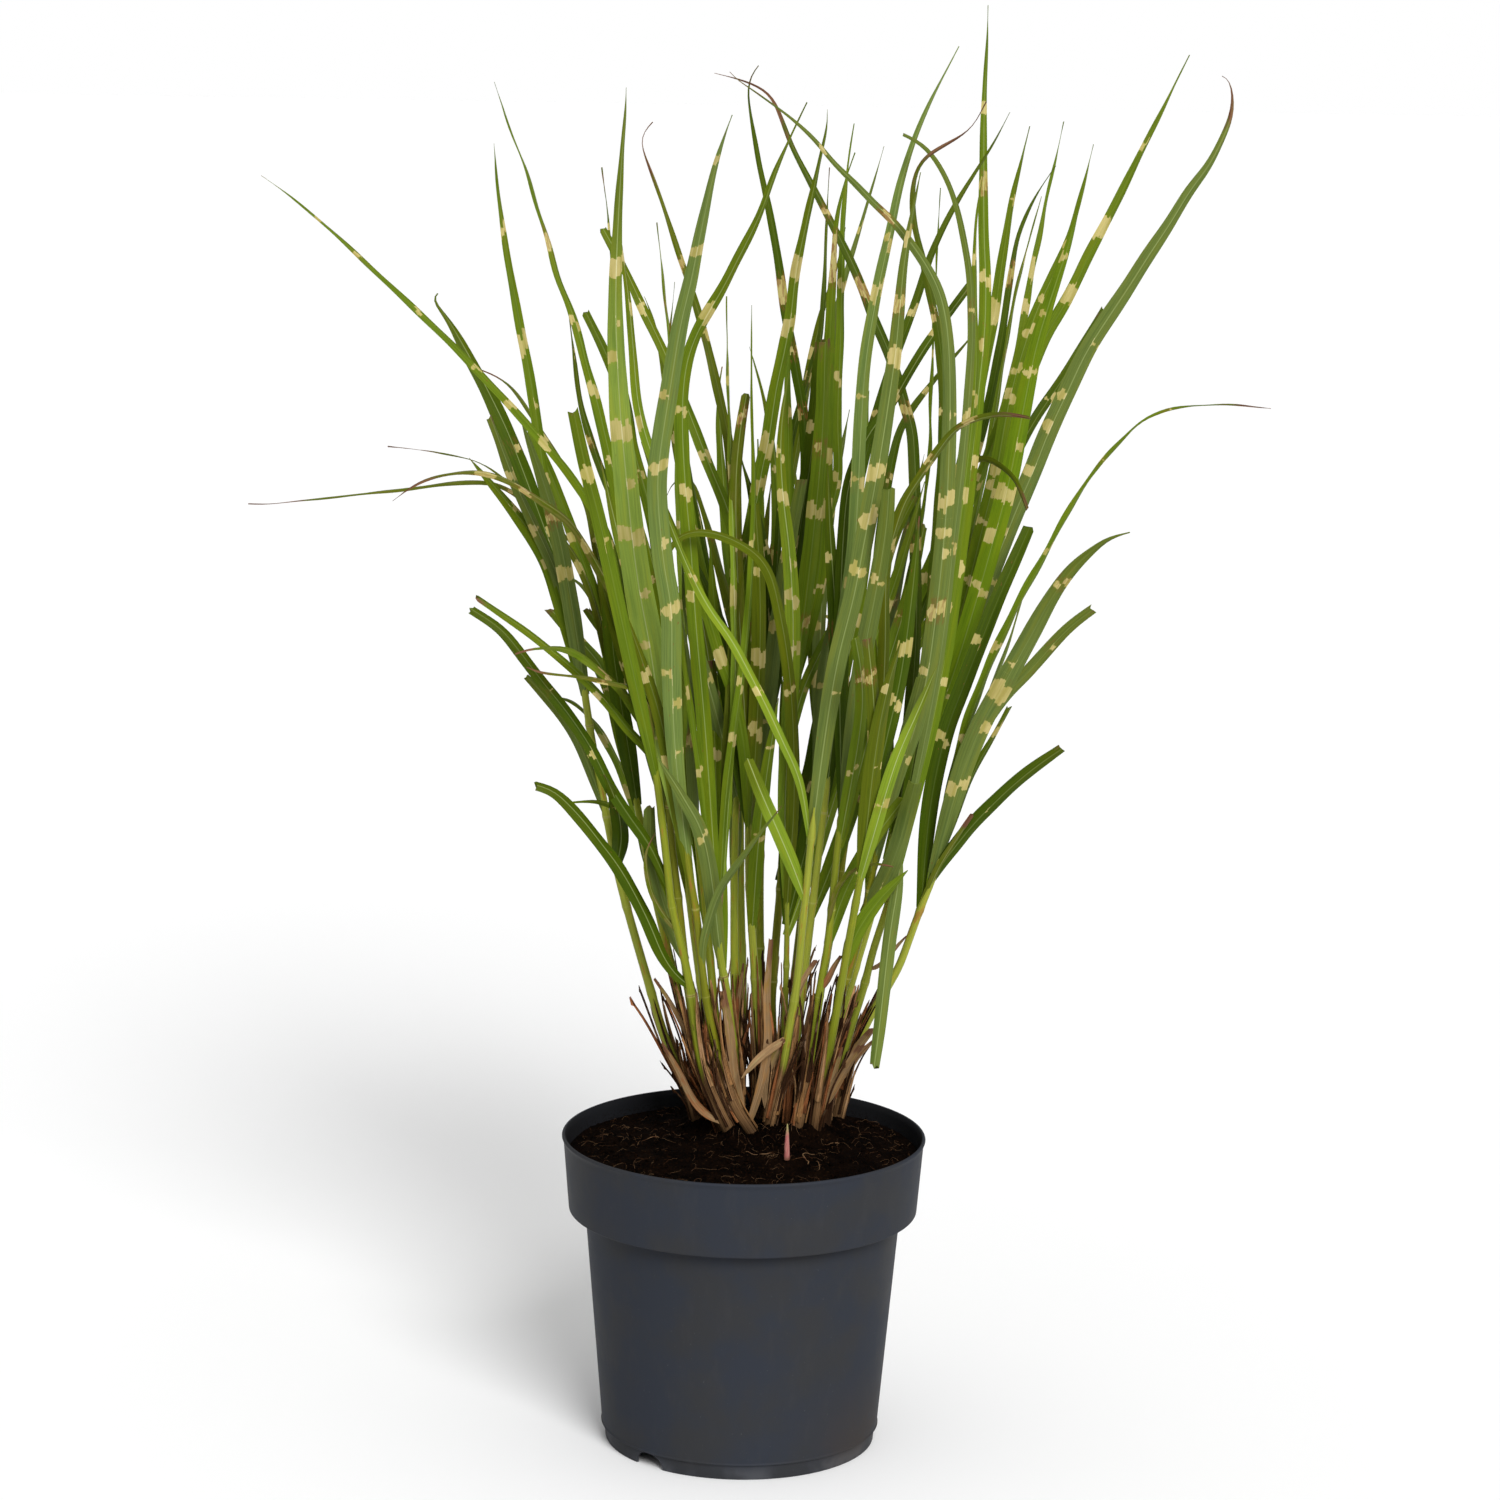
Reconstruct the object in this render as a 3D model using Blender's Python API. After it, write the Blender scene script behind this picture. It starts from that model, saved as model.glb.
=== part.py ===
"""Potted miscanthus: a nursery pot, its soil and a clump of banded grass. Metres, +Z up, pot axis on Z."""

import math
import random

import bpy
import bmesh
from mathutils import Matrix, Vector
from mathutils.bvhtree import BVHTree

MM = 0.001
GAP = 0.0003

# Pot
RIM_RADIUS = 0.1125
POT_HEIGHT = 0.194
COLLAR_BOTTOM = 0.147
COLLAR_BOTTOM_RADIUS = 0.1078
WALL_TOP_RADIUS = 0.0977
WALL_BOTTOM_RADIUS = 0.0861
RING_HEIGHT = 0.0095
SKIRT_RADIUS = 0.0838
SKIRT_FLARE = 0.0008
LIP = 0.0012
WALL = 0.0019
FLOOR_BOTTOM = 0.009
FLOOR_TOP = 0.0115
POT_SIDES = 36
STEP_SLOPE = 0.0008
NOTCH_WIDTH = 0.021
NOTCH_HEIGHT = 0.0088
NOTCH_STRAIGHT = 0.002
NOTCH_ANGLES = (229, 49)

# Soil
SOIL_EDGE = 0.182
SOIL_MOUND = 0.0065
SOIL_SIDES = 24
SOIL_RINGS = (1.0, 0.82, 0.55, 0.27)
SOIL_BUMP = 0.0008

# Viewpoint from which the outlines below were read, on the plane through the pot's axis
VIEW_DISTANCE = 2.479
VIEW_HEIGHT = 0.891

# Grass
CULM_SIDES = 6
FOOT_LIFT = 0.0008
CULM_RADIUS = 0.0034
THIN_CULM_RADIUS = 0.0026
SHEATH_THICKNESS = 0.0011
SHEATH_LENGTH = 0.075
MIDRIB_DEPTH = 0.0013
TIP_WIDTH = 0.0011
TAPER = 3.0
SLIM_TAPER = 1.3
SMOOTH_STEPS = 6
LEAF_TOLERANCE = 0.0075
CULM_TOLERANCE = 0.0015
CLEARANCE = 0.0011
FREE_LENGTH = 0.07
SHEATH_INSET = 0.006
FINE, SLIM, WORN, CUT = 0.0, 0.01, 0.4, 0.72

# New shoot: its place on the soil, and its radius by height
SPEAR_BASE = (0.0265, -0.036)
SPEAR_PROFILE = ((0.0, 0.0019), (0.008, 0.0017), (0.016, 0.0011), (0.0225, 0.0004))

# Each shoot: name, base on the soil (x, y), depth of its top, culm outline upwards, leaves.
# Each leaf: width, turn from facing the viewer (degrees, at base and tip), depth swept, end, outline.
# Outlines are (x, z) readings; everything here is in millimetres.
SHOOTS = (
    ("shoot_01", (-28, 32), 12, CULM_RADIUS,
     ((-34, 220), (-48, 250), (-60, 289), (-72, 330), (-80, 360), (-88, 400), (-96, 440), (-103, 485),
      (-107, 510)),
     (
         (6, (20, 30), -18, CUT, ((-86, 390), (-95, 415), (-103, 435), (-112, 450), (-122, 463),
                                  (-136, 478))),
         (4, (10, 20), 14, CUT, ((-103, 485), (-110, 508), (-119, 526))),
         (8, (20, 50), -52, CUT, ((-105, 500), (-114, 528), (-123, 551), (-133, 572), (-145, 598),
                                  (-159, 635))),
         (12, (10, 35), 30, FINE, ((-107, 510), (-116, 540), (-126, 568), (-137, 597), (-148, 625),
                                   (-160, 650), (-172, 672), (-184, 693), (-194, 707), (-190, 709))),
         (7, (5, 30), 75, FINE, ((-107, 510), (-114, 545), (-121, 575), (-127, 605), (-131, 635),
                                 (-136, 665), (-141, 690), (-147, 722), (-151, 745), (-155, 775),
                                 (-157, 798))),
     )),
    ("shoot_02", (-6, 0), -45, CULM_RADIUS,
     ((-18, 214), (-26, 235), (-31, 260), (-34, 284), (-39, 308), (-46, 336), (-49, 360), (-54, 400),
      (-60, 440), (-66, 470)),
     (
         (9, (20, 30), -12, CUT, ((-35, 286), (-43, 293), (-52, 306), (-60, 325), (-70, 345), (-80, 362),
                                  (-90, 375), (-100, 388), (-110, 399), (-120, 408), (-130, 411))),
         (4, (20, 60), -16, FINE, ((-42, 320), (-52, 332), (-59, 345), (-62, 358), (-63, 370), (-57, 383))),
         (6, (40, 50), 30, FINE, ((-46, 336), (-55, 362), (-64, 380), (-74, 393), (-85, 400), (-97, 402),
                                  (-116, 400))),
         (8, (15, 25), 10, CUT, ((-48, 350), (-60, 374), (-72, 391), (-85, 411), (-97, 435), (-112, 457),
                                 (-125, 473), (-138, 490), (-152, 507), (-170, 519))),
         (7, (40, 55), -35, FINE, ((-60, 440), (-75, 466), (-87, 478), (-95, 485), (-103, 491), (-112, 495),
                                   (-125, 496), (-135, 495), (-143, 492))),
         (5, (45, 60), -70, FINE, ((-58, 428), (-60, 455), (-68, 470), (-80, 474), (-95, 477), (-110, 479),
                                   (-128, 481), (-136, 484))),
         (6.5, (35, 50), -25, FINE, ((-66, 470), (-76, 520), (-87, 563), (-98, 583), (-112, 603), (-128, 622),
                                   (-150, 646), (-180, 677), (-200, 696), (-225, 719), (-250, 742),
                                   (-275, 763), (-295, 777))),
         (8, (50, 60), 25, FINE, ((-66, 470), (-78, 515), (-88, 535), (-100, 556), (-110, 572), (-122, 581),
                                  (-133, 588), (-142, 594), (-155, 600), (-168, 602), (-182, 601),
                                  (-195, 598), (-205, 593), (-217, 584))),
         (9, (5, 15), -95, CUT, ((-66, 470), (-78, 510), (-86, 545), (-93, 575), (-101, 605), (-109, 640))),
         (8, (10, 60), 8, CUT, ((-6, 198), (-14, 208), (-19, 222), (-24, 238))),
         (7, (35, 70), -14, CUT, ((-10, 202), (-24, 206), (-33, 217), (-40, 232), (-52, 252))),
     )),
    ("shoot_03", (7, 6), -30, CULM_RADIUS,
     ((-6, 212), (-13, 232), (-19, 254), (-24, 276), (-28, 305), (-31, 332), (-36, 360), (-41, 395)),
     (
         (6, (10, 60), -60, FINE, ((-28, 296), (-27, 312), (-23, 330), (-17, 348), (-8, 362), (3, 378),
                                   (12, 390), (20, 401))),
         (6, (20, 40), -40, CUT, ((-35, 355), (-48, 413), (-64, 436), (-75, 447), (-85, 460), (-97, 473),
                                  (-108, 483), (-120, 493), (-135, 505), (-150, 515), (-166, 526))),
         (17.5, (0, 20), -165, SLIM, ((-41, 395), (-46, 412), (-52, 440), (-57, 470), (-62, 500),
                                      (-68, 530), (-73, 563), (-77, 600), (-81, 640), (-84, 690),
                                      (-84, 730), (-82, 780), (-79.5, 815), (-79, 832))),
         (12, (0, 25), -257, FINE, ((-41, 395), (-45, 430), (-48, 480), (-49, 520), (-54, 550), (-58, 590),
                                    (-57, 615), (-52, 650), (-46, 690), (-40, 717), (-35, 743), (-30, 768),
                                    (-25, 790), (-20, 806), (-16, 817))),
         (10.5, (5, 50), 20, SLIM, ((-41, 395), (-55, 480), (-66, 530), (-76, 570), (-83, 595), (-89, 620),
                                    (-95, 645), (-101, 665), (-106, 685), (-112, 703), (-119, 720),
                                    (-125, 742), (-131, 760), (-138, 783), (-147, 805), (-157, 834))),
         (7, (10, 40), -9, CUT, ((2, 205), (-4, 218), (-8, 240), (-10, 262), (-14, 284))),
         (6, (10, 50), -10, CUT, ((4, 200), (10, 224), (14, 250), (13, 285), (15, 318))),
     )),
    ("shoot_04", (-2, 22), -8, CULM_RADIUS,
     ((-5, 235), (-9, 262), (-12, 285), (-16, 305), (-18, 328), (-18, 345)),
     (
         (5, (15, 40), -35, FINE, ((-18, 328), (-25, 380), (-30, 420), (-36, 458), (-42, 500), (-45, 535))),
         (6, (20, 70), 35, FINE, ((-18, 335), (-15, 400), (-11, 440), (-6, 480), (-3, 515), (-1, 550),
                                  (0, 590), (-1, 620), (-2.5, 660), (-3, 705))),
         (7, (20, 25), 110, FINE, ((-18, 345), (-14, 430), (-11, 500), (-11, 560), (-14, 610), (-18, 635),
                                   (-22, 652), (-26, 668), (-31, 688), (-37, 707), (-42, 722), (-46, 733),
                                   (-52, 750), (-58, 768), (-64, 783), (-69, 796), (-70, 803), (-67, 808),
                                   (-63, 812))),
         (5, (20, 50), 60, FINE, ((-18, 345), (-12, 420), (-10, 480), (-11, 520), (-12, 555), (-14, 600),
                                  (-15.5, 640), (-17, 670), (-18, 710))),
         (9.5, (10, 30), -120, FINE, ((-18, 345), (-27, 440), (-34, 510), (-38, 560), (-42, 600), (-44, 640),
                                    (-42, 668), (-36, 687), (-28, 702), (-20, 716), (-12, 732), (-4, 748),
                                    (3, 764), (10, 785), (17, 801), (28, 825))),
         (4, (30, 60), -14, FINE, ((-14, 300), (-17, 330), (-15, 350), (-9, 363))),
     )),
    ("shoot_05", (9, 38), 40, CULM_RADIUS,
     ((8.5, 232), (6.7, 268), (5.2, 296), (3, 324), (1, 350), (0, 385), (0, 420)),
     (
         (8, (10, 30), -60, FINE, ((1, 380), (-3, 430), (-10, 468), (-18, 490), (-25, 512), (-33, 535),
                                   (-42, 557), (-52, 580), (-59, 600))),
         (8, (0, 15), -20, CUT, ((0, 420), (-5, 480), (-9, 540), (-11, 595), (-9, 628), (-5.5, 651))),
         (9.5, (5, 35), -130, FINE, ((0, 420), (-6, 470), (-9, 515), (-7, 535), (-4, 555), (1, 585),
                                     (4, 605), (8, 625), (12, 655), (16, 675), (20, 698), (23, 727),
                                     (28, 752), (33, 777), (38, 800), (40, 812), (40, 821))),
         (8, (15, 35), 70, CUT, ((0, 420), (-4, 500), (-9, 555), (-16, 582), (-25, 603), (-38, 635),
                                 (-48, 660), (-58, 682), (-70, 706), (-80, 727), (-92, 748))),
     )),
    ("shoot_06", (7, 56), 110, CULM_RADIUS,
     ((9, 266), (8.5, 300), (7.5, 350), (8, 400), (9, 440), (10, 480)),
     (
         (7, (10, 30), 30, FINE, ((10, 480), (22, 540), (29, 580), (31, 610), (29, 640), (25, 662),
                                  (21, 682), (17, 702), (14, 722), (10, 745), (5, 768), (1, 785), (-2, 800),
                                  (-5, 815), (-7, 832), (-5, 841), (-1, 846))),
         (5, (10, 40), 90, FINE, ((10, 480), (14, 540), (16, 580), (20, 612), (24, 635), (29, 653),
                                  (33, 668), (38, 685), (39.5, 705), (40.5, 735), (41, 765), (42, 787))),
         (10, (30, 60), 120, FINE, ((8, 400), (2, 450), (-8, 500), (-20, 545), (-30, 580), (-38, 600),
                                    (-48, 598), (-52, 590))),
         (9, (20, 60), 150, FINE, ((9, 440), (12, 500), (14, 560), (12, 610), (5, 650), (-4, 680))),
     )),
    ("shoot_07", (20, 57), 85, CULM_RADIUS,
     ((16, 269), (16.5, 293), (18.4, 325), (20.2, 352), (22, 400), (24, 450), (25, 490)),
     (
         (12.5, (0, 35), -60, SLIM, ((25, 470), (33, 508), (39, 540), (41, 570), (42, 600), (42.5, 640),
                                     (43.5, 680), (44.5, 710), (45.5, 735), (47, 758), (51, 778),
                                     (57, 796))),
         (7, (20, 40), 35, FINE, ((25, 490), (40, 560), (50, 600), (49, 640), (50, 690), (50, 730),
                                  (51, 765), (53, 790), (56, 813))),
         (6, (15, 40), 80, FINE, ((25, 490), (38, 600), (46, 690), (52, 720), (58, 742), (64, 763),
                                  (70, 785), (74, 800))),
         (7, (10, 25), 15, FINE, ((22, 425), (30, 468), (42, 497), (52, 517), (62, 540), (68, 562))),
         (9, (30, 55), 170, FINE, ((22, 400), (24, 450), (30, 500), (36, 545), (38, 580), (33, 610))),
     )),
    ("shoot_08", (22, 40), 28, THIN_CULM_RADIUS,
     ((23.5, 250), (24.5, 290), (24.5, 330), (24, 350)),
     (
         (10, (0, 20), -25, FINE, ((24, 345), (22, 400), (23.5, 450), (25, 500), (24, 530), (21.5, 560),
                                   (17.5, 590), (15.5, 620), (17, 645), (20, 665))),
         (8.5, (10, 50), -95, WORN, ((24, 345), (27, 410), (23, 480), (14, 530), (8, 547), (0, 556),
                                   (-10, 562), (-20, 566), (-32, 568), (-42, 566), (-49, 560), (-54, 548),
                                   (-57, 537))),
     )),
    ("shoot_09", (15, 18), -48, CULM_RADIUS,
     ((19, 216), (24.4, 243), (27.6, 265), (30.1, 281), (32, 298), (33.9, 326), (35.8, 346), (38, 375),
      (40, 400)),
     (
         (9, (0, 10), -20, CUT, ((35.5, 343), (28, 362), (18, 385), (8, 407), (-1, 429))),
         (6, (10, 30), -70, FINE, ((38, 375), (31, 415), (20, 440), (10, 461), (-1, 482), (-12, 502),
                                   (-27, 523), (-40, 548), (-52, 577), (-60, 600), (-68, 622))),
         (9, (10, 40), 30, FINE, ((40, 400), (44, 430), (48, 465), (54, 505), (60, 550), (62, 590),
                                  (63, 630), (65, 670), (69, 700), (74, 728), (79, 752), (84, 778),
                                  (91, 802), (100, 825), (109, 843), (117, 859))),
         (11.5, (0, 30), -110, FINE, ((40, 400), (45, 440), (52, 490), (61, 530), (66, 560), (71, 590),
                                      (75, 615), (79, 645), (83, 678), (85, 705), (87, 730), (90, 752),
                                      (93, 768), (96, 785))),
         (5, (20, 50), -12, CUT, ((29, 272), (33, 288), (38, 297), (43, 305))),
         (8, (10, 20), -12, CUT, ((18, 212), (22, 230), (26, 252), (30, 275))),
         (6, (10, 40), -16, CUT, ((16, 204), (13, 222), (17, 240), (24, 254))),
         (5, (0, 10), -14, FINE, ((26, 255), (20, 251), (9, 243), (-2, 229))),
     )),
    ("shoot_10", (32, 12), -28, CULM_RADIUS,
     ((36.8, 222), (40, 243), (43.2, 266), (46.4, 292), (49.6, 313), (52, 341), (55, 380), (60, 420)),
     (
         (5, (30, 60), -18, CUT, ((45, 283), (50, 291), (53, 300), (58, 308))),
         (5, (50, 60), -40, FINE, ((50, 322), (53, 345), (60, 358), (69, 364), (79, 366), (89, 364))),
         (11, (0, 15), -75, CUT, ((60, 420), (64, 460), (68, 495), (73, 525), (77, 550), (80, 575),
                                  (81, 596))),
         (7, (20, 25), 60, FINE, ((60, 420), (56, 500), (57, 560), (64, 605), (74, 645), (82, 672),
                                  (89, 692), (96, 712), (102, 733), (109, 750), (118, 768), (130, 788),
                                  (139, 803), (148, 821))),
         (7, (15, 25), 25, CUT, ((58, 405), (53, 500), (55, 585), (62, 615), (70, 632), (80, 645),
                                 (90, 663), (101, 682), (112, 698), (127, 719))),
     )),
    ("shoot_11", (38, 28), 2, CULM_RADIUS,
     ((50, 250), (56, 272), (60.6, 290), (66, 308), (73, 340), (77, 365), (80, 385)),
     (
         (11.5, (0, 10), -55, CUT, ((72, 335), (82, 352), (90, 372), (96, 395), (101, 417))),
         (10, (5, 20), -18, FINE, ((76, 362), (81, 400), (83, 430), (82, 455), (79, 478), (75, 505))),
         (8, (5, 15), -48, CUT, ((78, 372), (86, 410), (92, 435), (98, 460), (103, 481))),
         (11, (0, 25), -190, SLIM, ((80, 385), (90, 420), (100, 450), (107, 485), (111, 520), (114, 555),
                                      (116, 590), (116.5, 620), (116.5, 650), (115, 680), (112, 702),
                                      (107, 718), (99, 732), (91, 743), (80, 756), (70, 765), (58, 777),
                                      (45, 789), (33, 803), (18, 816), (4, 826), (-8, 834), (-15, 838),
                                      (-18, 842))),
         (8, (20, 50), -130, WORN, ((80, 385), (80, 480), (80, 545), (85, 572), (91, 590), (99, 603),
                                    (110, 620), (120, 633), (132, 639), (144, 642), (155, 642),
                                    (165, 640))),
         (7, (10, 20), 30, CUT, ((80, 385), (76, 480), (79, 540), (84, 562), (90, 578), (97, 592))),
         (5, (40, 60), -24, FINE, ((60, 289), (63, 320), (68, 350), (72, 370), (75, 386))),
         (9, (10, 20), -4, CUT, ((42, 215), (50, 240), (60, 268))),
         (4, (20, 60), 6, CUT, ((50, 250), (58, 280), (63, 315), (66, 338))),
     )),
    ("shoot_12", (50, 32), -4, CULM_RADIUS,
     ((53, 222), (59.6, 243), (66.2, 267), (72.8, 290), (77.8, 312), (86, 340), (95, 375)),
     (
         (8.5, (0, 10), -30, CUT, ((92, 366), (92, 352), (90, 338), (87.5, 318), (85, 290), (82.5, 262),
                                   (80, 238))),
         (9, (0, 20), 85, FINE, ((95, 375), (108, 440), (118, 500), (125, 560), (130, 610), (133, 650),
                                 (136, 690), (136, 720), (134.5, 745), (133.5, 770), (133, 795),
                                 (132.5, 820), (133, 845), (133.5, 865), (133.5, 883))),
         (9, (18, 50), 20, FINE, ((95, 375), (106, 450), (116, 510), (122, 560), (127, 610), (131, 660),
                                  (130, 700), (129, 735), (130, 762), (133, 785))),
         (6.5, (20, 40), -40, WORN, ((95, 375), (112, 480), (120, 560), (126, 630), (128.5, 680), (128, 705),
                                  (126, 728), (122, 748), (118, 764), (113, 778), (107, 789), (100, 798),
                                  (92, 804), (85, 807))),
         (7, (20, 35), -100, FINE, ((95, 375), (104, 470), (110, 560), (113, 620), (112, 660), (108, 692),
                                    (103, 714), (98, 735), (94, 750), (91.5, 765), (91.5, 777), (94, 787),
                                    (99, 794), (108, 800), (118, 806), (126, 812), (134, 827))),
         (8, (20, 30), 130, FINE, ((95, 375), (98, 480), (98, 560), (95, 625), (90, 645), (83, 668),
                                   (76, 685), (69, 700), (62, 718), (55, 733), (47, 748), (38, 765),
                                   (28, 783), (20, 798), (13, 815), (8, 826), (2, 832), (-10, 837),
                                   (-27, 841))),
         (4, (30, 50), -16, FINE, ((75, 300), (80, 300), (86, 306), (92, 314), (98, 321))),
         (7, (20, 50), -12, CUT, ((56, 230), (62, 240), (70, 251), (78, 262))),
     )),
    ("shoot_13", (57, 46), 22, CULM_RADIUS,
     ((66, 245), (73, 262), (82, 280), (93, 300), (99, 317), (106, 338), (114, 360), (118, 375)),
     (
         (9, (20, 30), -35, CUT, ((112, 354), (119, 368), (127, 379), (136, 391), (148, 404), (160, 416),
                                  (174, 428), (189, 439))),
         (13, (5, 25), -60, FINE, ((114, 360), (119, 385), (126, 412), (133, 435), (141, 455), (150, 472),
                                     (158, 488), (168, 507), (178, 527), (188, 543), (197, 554), (206, 562),
                                     (214, 568), (227, 572))),
         (9, (15, 25), -12, CUT, ((118, 375), (127, 420), (136, 442), (146, 460), (156, 474), (166, 484),
                                  (177, 497), (189, 511), (198, 519), (206, 525))),
         (8, (40, 60), -10, SLIM, ((118, 375), (128, 440), (136, 468), (144, 490), (151, 507), (160, 527),
                                   (168, 543), (177, 560), (186, 578), (195, 595), (204, 608), (213, 620),
                                   (222, 630), (231, 639), (241, 644), (253, 648), (268, 649.5), (285, 650),
                                   (309, 648))),
         (4, (30, 50), 40, FINE, ((118, 375), (130, 430), (142, 465), (150, 487), (157, 508), (162, 527),
                                  (167, 545))),
         (11, (10, 20), 75, CUT, ((106, 338), (110, 400), (118, 445), (128, 475), (138, 503), (148, 530),
                                  (157, 552), (166, 574))),
         (5, (30, 50), -20, CUT, ((106, 338), (116, 364), (126, 381), (136, 397))),
         (5, (30, 40), -8, CUT, ((118, 375), (129, 405), (138, 428), (145, 441), (151, 452), (157, 464))),
         (6, (45, 70), -10, CUT, ((60, 232), (69, 244), (80, 256))),
     )),
    ("shoot_14", (-14, 42), 105, CULM_RADIUS,
     ((-18, 260), (-24, 320), (-31, 380), (-38, 430)),
     (
         (8, (10, 20), 60, CUT, ((-38, 430), (-58, 560), (-72, 615), (-82, 655), (-90, 675), (-102, 699))),
         (8, (10, 40), -20, FINE, ((-38, 430), (-50, 540), (-58, 600), (-66, 626), (-71, 648), (-74, 680),
                                   (-77, 710), (-81, 737), (-84, 765))),
         (7, (10, 30), 110, FINE, ((-38, 430), (-62, 530), (-78, 575), (-90, 600), (-99, 625), (-104, 642),
                                   (-108, 668), (-112, 700))),
         (5, (20, 40), 140, FINE, ((-38, 430), (-44, 560), (-47, 640), (-51, 680), (-54, 702), (-57, 728),
                                   (-60, 753))),
         (5, (20, 60), 170, FINE, ((-31, 380), (-60, 560), (-75, 640), (-85, 700), (-88, 745), (-93, 785))),
         (9, (40, 60), 110, FINE, ((-24, 320), (-34, 390), (-50, 440), (-72, 480), (-90, 500))),
     )),
    ("shoot_15", (36, 48), 110, CULM_RADIUS,
     ((45, 280), (54, 340), (62, 400), (72, 450)),
     (
         (9.5, (5, 30), 20, FINE, ((72, 450), (95, 520), (112, 560), (122, 595), (128, 625), (133, 655),
                                   (138, 682), (142, 705), (145, 730), (148, 752), (151, 772), (156, 795),
                                   (160, 813))),
         (7, (15, 30), 60, FINE, ((72, 450), (105, 530), (128, 600), (138, 640), (144, 672), (148, 700),
                                  (151, 725), (154, 745), (159, 760), (165, 773), (176, 790))),
         (7, (15, 40), 110, FINE, ((72, 450), (110, 540), (134, 600), (147, 638), (154, 665), (159, 695),
                                   (163, 725), (167, 745), (170, 765), (174, 785), (180, 816))),
         (7, (15, 25), 150, FINE, ((72, 450), (76, 560), (84, 620), (92, 641), (104, 658), (115, 672),
                                  (126, 685), (134, 697))),
         (4, (40, 60), -30, FINE, ((62, 400), (90, 520), (104, 600), (105, 650), (106, 700), (107, 750),
                                   (108, 776))),
         (10, (20, 60), 170, FINE, ((54, 340), (60, 400), (72, 450), (84, 490), (96, 510), (104, 500))),
     )),
    ("shoot_16", (-3, 60), 140, CULM_RADIUS,
     ((-2, 280), (-4, 340), (-5, 400), (-4, 450)),
     (
         (10, (20, 50), 140, FINE, ((-4, 450), (-8, 500), (-15, 560), (-20, 610), (-22, 650), (-20, 668))),
         (9, (10, 40), 90, FINE, ((-4, 450), (-22, 520), (-40, 590), (-52, 650), (-60, 690), (-67, 709))),
         (4, (30, 50), 40, FINE, ((-4, 450), (-25, 540), (-42, 620), (-51, 680), (-50, 705), (-49, 718))),
         (9, (20, 50), 60, FINE, ((-4, 450), (6, 520), (18, 580), (28, 640), (36, 690), (48, 730),
                                  (52, 752))),
         (10, (30, 60), 160, FINE, ((-5, 400), (4, 450), (18, 490), (34, 515), (46, 518), (54, 505))),
     )),
    ("shoot_17", (48, 60), 95, CULM_RADIUS,
     ((62, 280), (75, 330), (88, 380), (98, 420)),
     (
         (12.5, (0, 20), -70, FINE, ((98, 420), (118, 470), (130, 510), (138, 540), (145, 568), (152, 597),
                                     (157, 625), (162, 655), (167, 682), (173, 705), (180, 728), (186, 748),
                                     (192, 775))),
         (9.5, (5, 30), 30, FINE, ((98, 420), (115, 480), (128, 530), (138, 575), (145, 607), (150, 640),
                                   (155, 665), (162, 690), (169, 710), (178, 730), (185, 748), (190, 767),
                                   (198, 803))),
         (9.5, (5, 30), 70, FINE, ((98, 420), (122, 500), (138, 560), (148, 610), (155, 640), (163, 665),
                                   (173, 690), (182, 706), (190, 722), (198, 740), (206, 756), (213, 770),
                                   (222, 790), (233, 813), (253, 856))),
         (12, (5, 20), -20, FINE, ((98, 420), (120, 480), (136, 525), (148, 558), (158, 585), (168, 610),
                                   (176, 632), (186, 655), (197, 680), (209, 700), (221, 719), (233, 739),
                                   (245, 758), (256, 777), (266, 791), (273, 805), (278, 818), (279.5, 829),
                                   (278, 839), (275.5, 845), (272.5, 844))),
         (8, (15, 30), 120, CUT, ((98, 420), (118, 500), (134, 560), (146, 595), (156, 617), (168, 640),
                                  (179, 657), (190, 675), (207, 705))),
         (7.5, (20, 50), -130, WORN, ((98, 420), (112, 500), (120, 560), (121, 590), (125, 606), (132, 614),
                                    (139, 616), (148, 611), (157, 603), (165, 585))),
         (6, (20, 50), 150, FINE, ((88, 380), (125, 540), (140, 620), (147, 670), (152, 702), (157, 728),
                                   (168, 772))),
     )),
    ("shoot_18", (-26, 50), 78, CULM_RADIUS,
     ((-34, 250), (-46, 300), (-58, 350), (-68, 400), (-78, 450)),
     (
         (7, (50, 60), -20, SLIM, ((-78, 450), (-92, 510), (-104, 545), (-116, 563), (-128, 577),
                                   (-140, 587), (-150, 593), (-158, 596), (-172, 596), (-190, 594),
                                   (-210, 591), (-230, 588.5), (-250, 586), (-270, 583.5), (-290, 581),
                                   (-304, 581))),
         (6, (35, 50), 40, FINE, ((-78, 450), (-92, 540), (-100, 583), (-112, 602), (-122, 618),
                                  (-132, 634), (-143, 650), (-153, 659), (-173, 667))),
         (3, (30, 50), 90, SLIM, ((-78, 450), (-100, 540), (-125, 578), (-140, 590), (-147, 596),
                                  (-155, 602), (-165, 608), (-180, 612), (-200, 615), (-220, 617))),
         (9, (10, 30), 20, CUT, ((-78, 450), (-90, 510), (-103, 550), (-114, 580), (-124, 605),
                                 (-134, 627))),
         (9, (25, 40), 60, FINE, ((-76, 440), (-84, 500), (-90, 515), (-96, 526), (-104, 536),
                                  (-113, 541))),
         (9, (40, 60), 120, FINE, ((-58, 350), (-70, 400), (-88, 440), (-106, 462), (-122, 466))),
     )),
    ("shoot_19", (-12, 10), -18, CULM_RADIUS,
     ((-20, 215), (-28, 240), (-34, 275), (-38, 305), (-42, 340), (-47, 380), (-50, 420)),
     (
         (9, (15, 30), -60, FINE, ((-50, 420), (-60, 455), (-70, 490), (-80, 525), (-88, 560))),
         (8, (10, 30), 45, CUT, ((-50, 420), (-54, 470), (-60, 520), (-68, 562))),
         (8, (35, 55), -10, CUT, ((-14, 204), (-22, 222), (-28, 244), (-31, 262))),
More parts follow.
